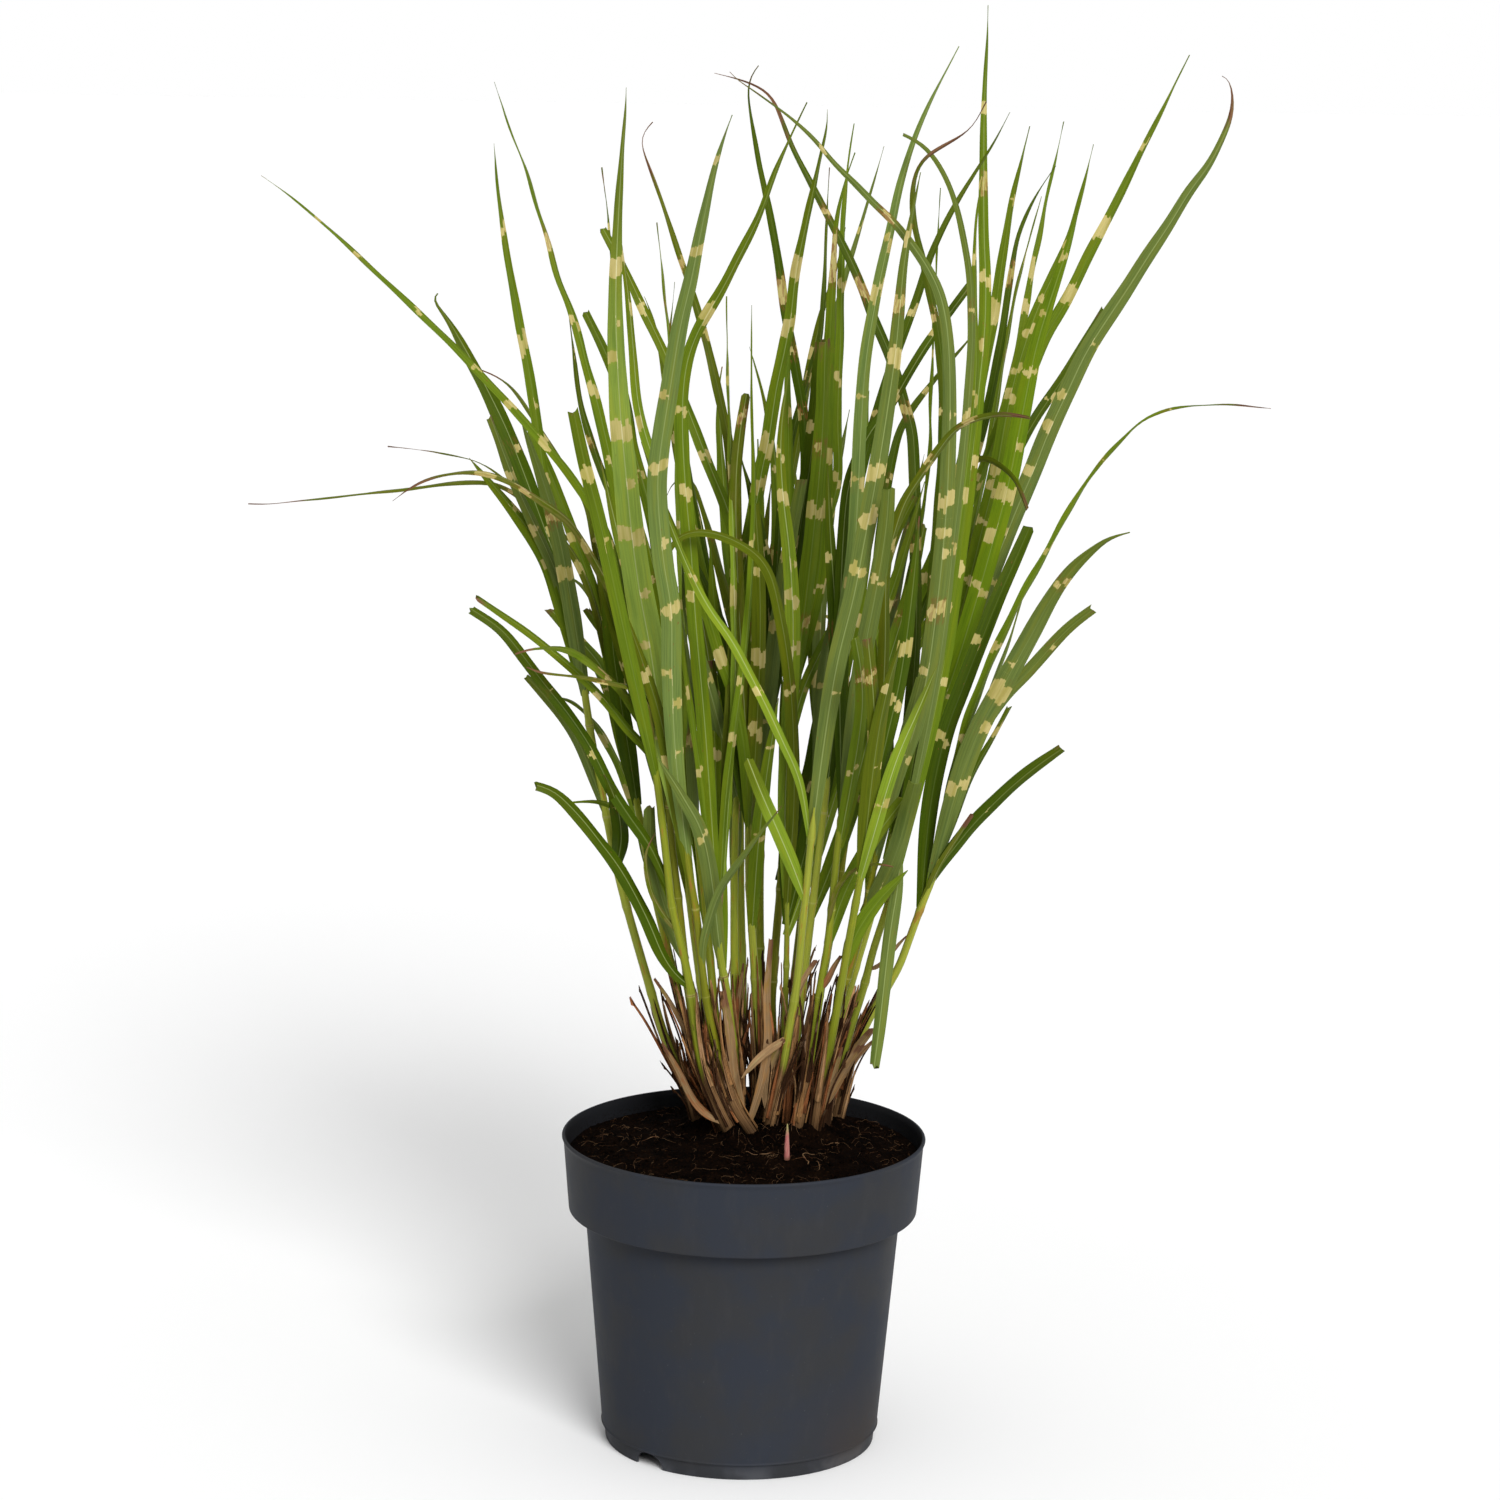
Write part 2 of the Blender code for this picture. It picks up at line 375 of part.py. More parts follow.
         (4, (30, 50), -12, CUT, ((-27, 240), (-36, 257), (-46, 276), (-56, 291))),
     )),
    ("shoot_20", (-5, 36), 55, CULM_RADIUS,
     ((-6, 240), (-7, 290), (-8, 340), (-8, 390), (-6, 430)),
     (
         (9, (10, 30), 40, FINE, ((-6, 430), (-3, 480), (2, 530), (4, 580), (2, 625))),
         (9, (10, 30), 70, CUT, ((-8, 390), (-16, 440), (-26, 490), (-33, 530))),
         (4, (30, 60), -12, CUT, ((-6, 262), (-4, 280), (-2, 302))),
     )),
    ("shoot_21", (27, 27), -4, CULM_RADIUS,
     ((30, 240), (34, 280), (39, 330), (44, 380), (49, 430)),
     (
         (9, (10, 25), -30, FINE, ((49, 430), (52, 470), (50, 520), (46, 570), (44, 610))),
         (8, (10, 25), 20, FINE, ((49, 430), (56, 480), (66, 530), (72, 570))),
         (8, (20, 40), -10, CUT, ((31, 214), (34, 236), (39, 262), (43, 284))),
     )),
    ("shoot_22", (44, 14), -44, CULM_RADIUS,
     ((48, 225), (54, 260), (60, 300), (67, 345), (74, 390)),
     (
         (10, (10, 25), -50, FINE, ((74, 390), (80, 430), (90, 480), (96, 530), (100, 580))),
         (9, (10, 25), -80, CUT, ((74, 390), (76, 430), (74, 470), (70, 505))),
         (8, (20, 40), -8, CUT, ((46, 204), (52, 226), (58, 250))),
         (7, (20, 50), -10, CUT, ((47, 206), (54, 222), (63, 238), (72, 252))),
     )),
    ("shoot_23", (27, 66), 125, CULM_RADIUS,
     ((29, 280), (34, 340), (39, 400), (43, 450)),
     (
         (9, (10, 30), 60, FINE, ((43, 450), (50, 510), (60, 570), (66, 620), (68, 655))),
         (8, (20, 40), 110, FINE, ((43, 450), (36, 510), (28, 570), (24, 615))),
         (9, (30, 50), 165, FINE, ((39, 400), (46, 450), (58, 495), (72, 520), (86, 524))),
     )),
    ("shoot_24", (-16, 23), 22, CULM_RADIUS,
     ((-21, 240), (-28, 290), (-35, 340), (-41, 390), (-46, 430)),
     (
         (9, (10, 30), 40, FINE, ((-46, 430), (-58, 480), (-72, 530), (-84, 575), (-92, 610))),
         (8, (25, 45), 80, CUT, ((-46, 430), (-66, 470), (-86, 500), (-100, 520))),
         (6, (20, 60), -10, CUT, ((-20, 225), (-28, 245), (-36, 258))),
     )),
)

# Leaves that fill the clump between those whose outlines are read
CROWN = (11, 190)
FULL_SHOOT = 8
FILL_SEED = 40

POT_COLOR = (0.052, 0.055, 0.064, 1.0)
SOIL_COLOR = (0.012, 0.008, 0.005, 1.0)
DARK_GRASS_COLOR = (0.095, 0.17, 0.03, 1.0)
LIGHT_GRASS_COLOR = (0.2, 0.3, 0.05, 1.0)
YOUNG_COLOR = (0.42, 0.16, 0.14, 1.0)


def clear_scene():
    for item in list(bpy.data.objects):
        bpy.data.objects.remove(item, do_unlink=True)


def material(name, color, roughness):
    made = bpy.data.materials.new(name)
    made.use_nodes = True
    shader = made.node_tree.nodes["Principled BSDF"]
    shader.inputs["Base Color"].default_value = color
    shader.inputs["Roughness"].default_value = roughness
    shader.inputs["Metallic"].default_value = 0.0
    return made


def make_object(name, points, faces, made_of):
    mesh = bpy.data.meshes.new(name)
    mesh.from_pydata([tuple(point) for point in points], [], faces)
    mesh.materials.append(made_of)
    made = bpy.data.objects.new(name, mesh)
    bpy.context.scene.collection.objects.link(made)
    return made


def hide_helper(helper):
    helper.hide_render = True
    helper.display_type = "WIRE"


# Pot: a turned wall with a stepped collar, cut by two arched drainage notches
def make_pot(made_of):
    step = COLLAR_BOTTOM + WALL
    profile = (
        (0.0, FLOOR_TOP),
        (WALL_BOTTOM_RADIUS - WALL, FLOOR_TOP),
        (WALL_TOP_RADIUS - WALL, step),
        (COLLAR_BOTTOM_RADIUS - WALL, step + STEP_SLOPE),
        (RIM_RADIUS - LIP - WALL, POT_HEIGHT - 0.003),
        (RIM_RADIUS - LIP - 0.0009, POT_HEIGHT),
        (RIM_RADIUS - 0.0006, POT_HEIGHT),
        (RIM_RADIUS, POT_HEIGHT - 0.0011),
        (RIM_RADIUS - LIP, POT_HEIGHT - 0.0034),
        (COLLAR_BOTTOM_RADIUS, COLLAR_BOTTOM + 0.0006),
        (COLLAR_BOTTOM_RADIUS - 0.0006, COLLAR_BOTTOM),
        (WALL_TOP_RADIUS, COLLAR_BOTTOM),
        (WALL_BOTTOM_RADIUS, RING_HEIGHT + 0.0016),
        (WALL_BOTTOM_RADIUS + 0.0006, RING_HEIGHT + 0.0005),
        (SKIRT_RADIUS + SKIRT_FLARE, RING_HEIGHT - 0.0006),
        (SKIRT_RADIUS, 0.0),
        (SKIRT_RADIUS - WALL, 0.0),
        (SKIRT_RADIUS - WALL, FLOOR_BOTTOM),
        (0.0, FLOOR_BOTTOM),
    )
    mesh = bpy.data.meshes.new("pot")
    shape = bmesh.new()
    outline = [shape.verts.new((radius, 0.0, height)) for radius, height in profile]
    edges = [shape.edges.new(pair) for pair in zip(outline, outline[1:])]
    bmesh.ops.spin(
        shape,
        geom=outline + edges,
        cent=(0, 0, 0),
        axis=(0, 0, 1),
        angle=math.tau,
        steps=POT_SIDES,
        use_merge=True,
    )
    bmesh.ops.remove_doubles(shape, verts=shape.verts, dist=1e-6)
    bmesh.ops.recalc_face_normals(shape, faces=shape.faces)
    shape.to_mesh(mesh)
    shape.free()
    mesh.shade_smooth()
    mesh.set_sharp_from_angle(angle=math.radians(40))
    mesh.materials.append(made_of)
    pot = bpy.data.objects.new("pot", mesh)
    bpy.context.scene.collection.objects.link(pot)
    for number, degrees in enumerate(NOTCH_ANGLES):
        cut = pot.modifiers.new(f"notch {number + 1}", "BOOLEAN")
        cut.operation = "DIFFERENCE"
        cut.object = make_notch_cutter(number, math.radians(degrees))
    return pot


def make_notch_cutter(number, angle):
    """An arch standing on the ground, pushed through the skirt from outside."""
    half = NOTCH_WIDTH / 2
    arch = [(-half, -0.002), (half, -0.002)]
    for step in range(7):
        turn = math.pi * step / 6
        height = NOTCH_STRAIGHT + (NOTCH_HEIGHT - NOTCH_STRAIGHT) * math.sin(turn)
        arch.append((half * math.cos(turn), height))
    near, far = SKIRT_RADIUS - 4 * WALL, SKIRT_RADIUS + 4 * WALL
    points = [(depth, across, up) for depth in (near, far) for across, up in arch]
    count = len(arch)
    faces = [tuple(reversed(range(count))), tuple(range(count, 2 * count))]
    faces += [(k, (k + 1) % count, count + (k + 1) % count, count + k) for k in range(count)]
    cutter = make_object(f"notch cutter {number + 1}", points, faces, bpy.data.materials["pot plastic"])
    cutter.rotation_euler = (0, 0, angle)
    hide_helper(cutter)
    return cutter


# Soil: a low mound of peat that fills the pot to just under the rim
def soil_height(x, y):
    share = min(1.0, math.hypot(x, y) / RIM_RADIUS)
    ripple = math.sin(61 * x + 1.3) * math.cos(53 * y + 0.4) + 0.6 * math.sin(118 * (x + y))
    return SOIL_EDGE + SOIL_MOUND * (1 - share * share) + SOIL_BUMP * ripple * (1 - share)


def soil_radius(height):
    """The pot's inner radius at a height, less the gap."""
    collar = (COLLAR_BOTTOM + WALL + STEP_SLOPE, COLLAR_BOTTOM_RADIUS - WALL)
    rim = (POT_HEIGHT - 0.003, RIM_RADIUS - LIP - WALL)
    share = (height - collar[0]) / (rim[0] - collar[0])
    return collar[1] + share * (rim[1] - collar[1]) - 2 * GAP


def make_soil(made_of):
    top = soil_radius(SOIL_EDGE) - GAP
    rows = [
        (WALL_BOTTOM_RADIUS - WALL - 3 * GAP, FLOOR_TOP + GAP),
        (WALL_TOP_RADIUS - WALL - 3 * GAP, COLLAR_BOTTOM + WALL + 2 * GAP),
        (COLLAR_BOTTOM_RADIUS - WALL - 3 * GAP, COLLAR_BOTTOM + WALL + STEP_SLOPE + 2 * GAP),
    ]
    points = []
    for radius, height in rows:
        for side in range(SOIL_SIDES):
            angle = math.tau * side / SOIL_SIDES
            points.append((radius * math.cos(angle), radius * math.sin(angle), height))
    for share in SOIL_RINGS:
        for side in range(SOIL_SIDES):
            angle = math.tau * side / SOIL_SIDES
            x, y = share * top * math.cos(angle), share * top * math.sin(angle)
            points.append((x, y, soil_height(x, y)))
    points += [(0, 0, rows[0][1]), (0, 0, soil_height(0, 0))]
    ring_count = len(rows) + len(SOIL_RINGS)
    bottom, middle = len(points) - 2, len(points) - 1
    faces = []
    for side in range(SOIL_SIDES):
        after = (side + 1) % SOIL_SIDES
        faces.append((bottom, after, side))
        last = (ring_count - 1) * SOIL_SIDES
        faces.append((last + side, last + after, middle))
        for ring in range(ring_count - 1):
            low, high = ring * SOIL_SIDES, (ring + 1) * SOIL_SIDES
            faces.append((low + side, low + after, high + after, high + side))
    return make_object("soil", points, faces, made_of)


# Outlines read from the viewpoint, put back in space at a depth
def place(x, z, depth):
    scale = (VIEW_DISTANCE + depth) / VIEW_DISTANCE
    return Vector((x * scale, depth, VIEW_HEIGHT + (z - VIEW_HEIGHT) * scale))


def smooth_outline(outline):
    """Points along a smooth curve through the outline's own, with the share of its length at each."""
    points = [Vector((x * MM, z * MM)) for x, z in outline]
    points = [2 * points[0] - points[1], *points, 2 * points[-1] - points[-2]]
    curve = []
    for before, start, end, after in zip(points, points[1:], points[2:], points[3:]):
        for step in range(SMOOTH_STEPS):
            t = step / SMOOTH_STEPS
            curve.append(
                0.5 * (2 * start + t * (end - before) + t * t * (2 * before - 5 * start + 4 * end - after)
                       + t ** 3 * (3 * start - before - 3 * end + after))
            )
    curve.append(points[-2])
    reach = [0.0]
    for start, end in zip(curve, curve[1:]):
        reach.append(reach[-1] + (end - start).length)
    return curve, [length / reach[-1] for length in reach]


def thinned(points, tolerance):
    """Indices of the points that keep the path within a tolerance of itself."""
    kept, spans = {0, len(points) - 1}, [(0, len(points) - 1)]
    while spans:
        first, last = spans.pop()
        chord = points[last] - points[first]
        worst, furthest = 0.0, None
        for index in range(first + 1, last):
            offset = points[index] - points[first]
            distance = (offset - offset.project(chord)).length
            if distance > worst:
                worst, furthest = distance, index
        if worst > tolerance:
            kept.add(furthest)
            spans += [(first, furthest), (furthest, last)]
    return sorted(kept)


def culm_path(base, top_depth, outline):
    """The culm's axis in space, from just above the soil."""
    x, y = base[0] * MM, base[1] * MM
    foot = Vector((x, y, soil_height(x, y) + FOOT_LIFT))
    start = seen_from_viewpoint(foot) / MM
    curve, shares = smooth_outline(((start.x, start.y), *outline))
    return [place(p.x, p.y, y + (top_depth * MM - y) * share ** 1.15) for p, share in zip(curve, shares)]


def nearest_on_culm(culm, reading, inset):
    """The point of the culm's straight runs that is seen nearest to a reading, a little short of its top."""
    nodes = [culm[index] for index in thinned(culm, CULM_TOLERANCE)]
    spots = [start.lerp(end, step / 20) for start, end in zip(nodes, nodes[1:]) for step in range(21)]
    spots = [spot for spot in spots if (spot - nodes[-1]).length > inset]
    return min(spots, key=lambda spot: (seen_from_viewpoint(spot) - reading).length)


def leaf_path(culm, outline, inset, sweep, bulge):
    """The leaf's midrib in space: it leaves the culm where its outline starts and sweeps to a depth."""
    start = nearest_on_culm(culm, Vector((outline[0][0] * MM, outline[0][1] * MM)), inset)
    seen = seen_from_viewpoint(start) / MM
    curve, shares = smooth_outline(((seen.x, seen.y), *outline[1:]))
    return [
        place(p.x, p.y, start.y + sweep * (0.55 * t + 0.45 * t * t) + bulge * math.sin(math.pi * t))
        for p, t in zip(curve, shares)
    ], shares


def seen_from_viewpoint(point):
    scale = VIEW_DISTANCE / (VIEW_DISTANCE + point.y)
    return Vector((point.x * scale, VIEW_HEIGHT + (point.z - VIEW_HEIGHT) * scale))


def leaf_width(share, end):
    """Width as a share of the widest: narrow at the sheath, full over the middle, drawn out to a tip."""
    if share < 0.3:
        return 0.5 + 0.5 * math.sin(share / 0.3 * math.pi / 2)
    taper = SLIM_TAPER if end == SLIM else TAPER
    return end + (1 - end) * (1 - ((share - 0.3) / 0.7) ** taper)


def across_leaf(path, index, turn):
    """Unit vectors across the blade and out of its upper face."""
    tangent = (path[min(index + 1, len(path) - 1)] - path[max(index - 1, 0)]).normalized()
    view = (path[index] - Vector((0, -VIEW_DISTANCE, VIEW_HEIGHT))).normalized()
    across = Matrix.Rotation(math.radians(turn), 3, tangent) @ tangent.cross(view).normalized()
    return across, across.cross(tangent)


def leaf_mesh(path, shares, width, turns, end, clearance=0.0):
    """A blade with a three-cornered section. With a clearance it is a shell around the blade."""
    points, faces = [], []
    stations = thinned(path, LEAF_TOLERANCE)
    for index in stations:
        share = shares[index]
        across, out = across_leaf(path, index, turns[0] + (turns[1] - turns[0]) * share)
        half = max(TIP_WIDTH, width * MM * leaf_width(share, end)) / 2 + clearance
        points += [
            path[index] - half * across + clearance * out,
            path[index] + half * across + clearance * out,
            path[index] - (MIDRIB_DEPTH + 1.5 * clearance) * out,
        ]
    for row in range(len(stations) - 1):
        for corner in range(3):
            a, b = 3 * row + corner, 3 * row + (corner + 1) % 3
            faces.append((a, b, b + 3, a + 3))
    last = 3 * (len(stations) - 1)
    faces += [(2, 1, 0), (last, last + 1, last + 2)]
    return points, faces


def culm_mesh(path, radius, clearance=0.0):
    points, faces = [], []
    stations = thinned(path, CULM_TOLERANCE)
    for index in stations:
        tangent = (path[min(index + 1, len(path) - 1)] - path[max(index - 1, 0)]).normalized()
        side = tangent.cross(Vector((0, 1, 0))).normalized()
        front = tangent.cross(side)
        if index == 0:
            side, front = Vector((-1, 0, 0)), Vector((0, -1, 0))
        for corner in range(CULM_SIDES):
            angle = math.tau * corner / CULM_SIDES
            sheath = SHEATH_THICKNESS * max(0.0, 1 - (path[index] - path[0]).length / SHEATH_LENGTH)
            reach = radius * (1 - 0.25 * index / len(path)) + sheath + clearance
            points.append(path[index] + reach * (math.cos(angle) * side + math.sin(angle) * front))
    for row in range(len(stations) - 1):
        for corner in range(CULM_SIDES):
            a, b = CULM_SIDES * row + corner, CULM_SIDES * row + (corner + 1) % CULM_SIDES
            faces.append((a, b, b + CULM_SIDES, a + CULM_SIDES))
    last = CULM_SIDES * (len(stations) - 1)
    faces += [tuple(reversed(range(CULM_SIDES))), tuple(range(last, last + CULM_SIDES))]
    return points, faces


def outward(points, faces):
    """The faces as triangles facing outwards, with each four-cornered one split so that it bulges."""
    fans = [(face[0], b, c) for face in faces for b, c in zip(face[1:], face[2:])]
    volume = sum(points[a].dot(points[b].cross(points[c])) for a, b, c in fans)
    triangles = []
    for face in faces:
        if volume < 0:
            face = tuple(reversed(face))
        if len(face) == 4:
            first, second, third, fourth = (points[corner] for corner in face)
            if (second - first).cross(third - first).dot(fourth - first) > 0:
                face = (*face[1:], face[0])
        triangles += [(face[0], b, c) for b, c in zip(face[1:], face[2:])]
    return triangles


def tree_of(points, faces):
    return BVHTree.FromPolygons(points, faces)


def beyond(path, shares, length):
    """The part of a path further than a length from its start."""
    total = sum((b - a).length for a, b in zip(path, path[1:]))
    first = next((k for k, share in enumerate(shares) if share * total >= length), len(path) - 2)
    first = min(first, len(path) - 2)
    return path[first:], shares[first:]


def sweeps(wanted):
    """Depths to try, the wanted one first, each with a straight run before a bulged one."""
    tries = [(wanted, 0)]
    for step in range(1, 17):
        for side in (1, -1):
            tries += [(wanted + side * 9 * step, 0), (wanted + side * 9 * (step - 1), 7 * step),
                      (wanted + side * 9 * (step - 1), -7 * step)]
    return tries


def grow_leaf(culm, leaf, rank, others, own):
    """The leaf's path at the first depth where it clears every other shoot, and its own beyond the sheath."""
    width, turns, sweep, end, outline = leaf
    inset = SHEATH_INSET * (rank + 1)
    for tried, bulge in sweeps(sweep):
        path, shares = leaf_path(culm, outline, inset, tried * MM, bulge * MM)
        shell = tree_of(*leaf_mesh(path, shares, width, turns, end, CLEARANCE))
        if any(shell.overlap(other) for other in others):
            continue
        free = tree_of(*leaf_mesh(*beyond(path, shares, FREE_LENGTH), width, turns, end, CLEARANCE / 2))
        if not any(free.overlap(other) for other in own):
            return path, shares
    return leaf_path(culm, outline, inset, sweep * MM, 0.0)


def filling_leaves(number, outline, count):
    """Leaves that lean on with the fan of the clump: two from the culm's top, then one from half way up."""
    chance = random.Random(FILL_SEED + number)
    leaves = []
    for side, start in ((-1, -1), (1, -1), (1, len(outline) // 2))[:max(0, FULL_SHOOT - count)]:
        x, z = outline[start]
        lean = (x - CROWN[0]) / (z - CROWN[1])
        rise = chance.uniform(100, 230) * (1 - abs(lean))
        drift = lean * rise + side * chance.uniform(6, 30)
        curl = side * chance.uniform(-8, 8)
        spots = tuple((x + drift * t + curl * math.sin(math.pi * t), z + rise * t) for t in (0, 0.35, 0.7, 1))
        end = chance.choice((FINE, FINE, CUT))
        turns = (chance.uniform(0, 30), 35)
        leaves.append((chance.uniform(8.5, 12), turns, chance.uniform(-90, 110), end, spots))
    return leaves


def grow_shoots():
    """Every shoot's culm and leaf paths, culms first, each kept clear of what grew before it."""
    culms = [culm_path(base, lean, outline) for name, base, lean, radius, outline, leaves in SHOOTS]
    trees = [[tree_of(*culm_mesh(path, shoot[3]))] for path, shoot in zip(culms, SHOOTS)]
    grown = [[] for shoot in SHOOTS]
    own = [[] for shoot in SHOOTS]
    all_leaves = []
    for number, (*_, outline, leaves) in enumerate(SHOOTS):
        all_leaves.append([*leaves, *filling_leaves(number, outline, len(leaves))])
    for rank in range(max(len(leaves) for leaves in all_leaves)):
        for number, leaves in enumerate(all_leaves):
            if rank >= len(leaves):
                continue
            leaf = leaves[rank]
            others = [tree for k, group in enumerate(trees) if k != number for tree in group]
            path, shares = grow_leaf(culms[number], leaf, rank, others, own[number])
            width, turns, _, end, _ = leaf
            trees[number].append(tree_of(*leaf_mesh(path, shares, width, turns, end)))
            own[number].append(tree_of(*leaf_mesh(*beyond(path, shares, FREE_LENGTH), width, turns, end)))
            grown[number].append((path, shares, leaf))
    return culms, grown


def keep_main_piece(mesh):
    """Removes the sealed pockets and slivers that a union leaves where thin blades cross."""
    shape = bmesh.new()
    shape.from_mesh(mesh)
    unseen, pieces = set(shape.verts), []
    while unseen:
        piece, edge = set(), [unseen.pop()]
        while edge:
            point = edge.pop()
            piece.add(point)
            near = {link.other_vert(point) for link in point.link_edges} & unseen
            unseen -= near
            edge += near
        pieces.append(piece)
    main = max(pieces, key=len)
    bmesh.ops.delete(shape, geom=[point for point in shape.verts if point not in main], context="VERTS")
    shape.to_mesh(mesh)
    shape.free()


def fuse(body, blades):
    """Joins the blades to the culm that they grow from."""
    for number, blade in enumerate(blades):
        join = body.modifiers.new(f"leaf {number + 1}", "BOOLEAN")
        join.operation = "UNION"
        join.solver = "MANIFOLD"
        join.object = blade
    fused = bpy.data.meshes.new_from_object(body.evaluated_get(bpy.context.evaluated_depsgraph_get()))
    keep_main_piece(fused)
    body.modifiers.clear()
    body.data = fused
    for blade in blades:
        bpy.data.objects.remove(blade, do_unlink=True)


def grass_color(number):
    """A green between yellowish and dark, which differs from shoot to shoot."""
    share = 0.5 + 0.5 * math.sin(2.4 * number)
    return tuple(a + (b - a) * share for a, b in zip(DARK_GRASS_COLOR, LIGHT_GRASS_COLOR))


def make_shoots():
    """Each shoot with its origin where it leaves the soil."""
    made = []
    culms, grown = grow_shoots()
    for number, (culm, leaves, shoot) in enumerate(zip(culms, grown, SHOOTS)):
        made_of = material(f"grass {number + 1}", grass_color(number), 0.5)
        points, faces = culm_mesh(culm, shoot[3])
        body = make_object(shoot[0], points, outward(points, faces), made_of)
        blades = []
        for path, shares, (width, turns, _, end, _) in leaves:
            points, faces = leaf_mesh(path, shares, width, turns, end)
            blades.append(make_object(f"{shoot[0]} leaf", points, outward(points, faces), made_of))
        fuse(body, blades)
        body.data.transform(Matrix.Translation(-culm[0]))
        body.location = culm[0]
        made.append(body)
    return made


# New shoot: a closed pink spear at the front of the clump
def make_new_shoot(made_of):
    points = []
    for height, radius in SPEAR_PROFILE:
        for side in range(CULM_SIDES):
            angle = math.tau * side / CULM_SIDES
            points.append((radius * math.cos(angle), radius * math.sin(angle), height))
    last = CULM_SIDES * (len(SPEAR_PROFILE) - 1)
    faces = [tuple(reversed(range(CULM_SIDES))), tuple(range(last, last + CULM_SIDES))]
    for row in range(len(SPEAR_PROFILE) - 1):
        for side in range(CULM_SIDES):
            a, b = CULM_SIDES * row + side, CULM_SIDES * row + (side + 1) % CULM_SIDES
            faces.append((a, b, b + CULM_SIDES, a + CULM_SIDES))
    spear = make_object("new_shoot", points, faces, made_of)
    x, y = SPEAR_BASE
    spear.location = (x, y, soil_height(x, y) + FOOT_LIFT)
    return spear


def main():
    clear_scene()
    whole = bpy.data.objects.new("potted miscanthus", None)
    bpy.context.scene.collection.objects.link(whole)
    pieces = [
        make_pot(material("pot plastic", POT_COLOR, 0.55)),
        make_soil(material("peat", SOIL_COLOR, 0.95)),
        *make_shoots(),
        make_new_shoot(material("young grass", YOUNG_COLOR, 0.5)),
    ]
    for piece in pieces:
        piece.parent = whole


main()
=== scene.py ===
"""Looks of the potted miscanthus: banded blades, sheathed culms, peat and a dark grey nursery pot.

Metres, +Z up.
"""

import math
import random

import bpy
import bmesh
from mathutils import Matrix, Vector, noise
from mathutils.bvhtree import BVHTree


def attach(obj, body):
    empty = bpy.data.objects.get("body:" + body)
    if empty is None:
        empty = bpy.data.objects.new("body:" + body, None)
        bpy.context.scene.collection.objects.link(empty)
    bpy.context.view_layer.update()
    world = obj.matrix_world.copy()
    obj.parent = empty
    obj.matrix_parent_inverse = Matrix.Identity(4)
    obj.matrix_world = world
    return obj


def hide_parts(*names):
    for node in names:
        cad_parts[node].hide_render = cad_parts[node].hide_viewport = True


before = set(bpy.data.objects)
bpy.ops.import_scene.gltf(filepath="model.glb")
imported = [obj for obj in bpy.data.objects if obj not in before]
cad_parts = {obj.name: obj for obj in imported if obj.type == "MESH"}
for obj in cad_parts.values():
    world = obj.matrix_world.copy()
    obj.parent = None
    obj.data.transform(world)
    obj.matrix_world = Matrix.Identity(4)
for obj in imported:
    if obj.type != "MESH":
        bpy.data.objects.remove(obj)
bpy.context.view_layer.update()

MM = 0.001
GAP = 0.0003

# Pot
RIM_RADIUS = 0.1125
POT_HEIGHT = 0.194
COLLAR_BOTTOM = 0.147
COLLAR_BOTTOM_RADIUS = 0.1078
WALL_TOP_RADIUS = 0.0977
WALL_BOTTOM_RADIUS = 0.0861
RING_HEIGHT = 0.0095
SKIRT_RADIUS = 0.0838
SKIRT_FLARE = 0.0008
LIP = 0.0012
WALL = 0.0019
FLOOR_BOTTOM = 0.009
FLOOR_TOP = 0.0115
STEP_SLOPE = 0.0008
NOTCH_WIDTH = 0.021
NOTCH_HEIGHT = 0.0088
NOTCH_STRAIGHT = 0.002
NOTCH_ANGLES = (229, 49)
RIM_INSIDE = (RIM_RADIUS - LIP - WALL, POT_HEIGHT - 0.003)
STEP_INSIDE = (COLLAR_BOTTOM_RADIUS - WALL, COLLAR_BOTTOM + WALL + STEP_SLOPE)

# Soil
SOIL_EDGE = 0.182
SOIL_MOUND = 0.0065
SOIL_BUMP = 0.0008

# Viewpoint from which the outlines below were read, on the plane through the pot's axis
VIEW_DISTANCE = 2.479
VIEW_HEIGHT = 0.891

# Grass
CULM_SIDES = 6
FOOT_LIFT = 0.0008
CULM_RADIUS = 0.0034
THIN_CULM_RADIUS = 0.0026
SHEATH_THICKNESS = 0.0011
SHEATH_LENGTH = 0.075
MIDRIB_DEPTH = 0.0013
TIP_WIDTH = 0.0011
TAPER = 3.0
SLIM_TAPER = 1.3
SMOOTH_STEPS = 6
LEAF_TOLERANCE = 0.0075
CULM_TOLERANCE = 0.0015
CLEARANCE = 0.0011
FREE_LENGTH = 0.07
SHEATH_INSET = 0.006
FINE, SLIM, WORN, CUT = 0.0, 0.01, 0.4, 0.72

# New shoot: its place on the soil, and its radius by height
SPEAR_BASE = (0.0265, -0.036)
SPEAR_PROFILE = ((0.0, 0.0019), (0.008, 0.0017), (0.016, 0.0011), (0.0225, 0.0004))

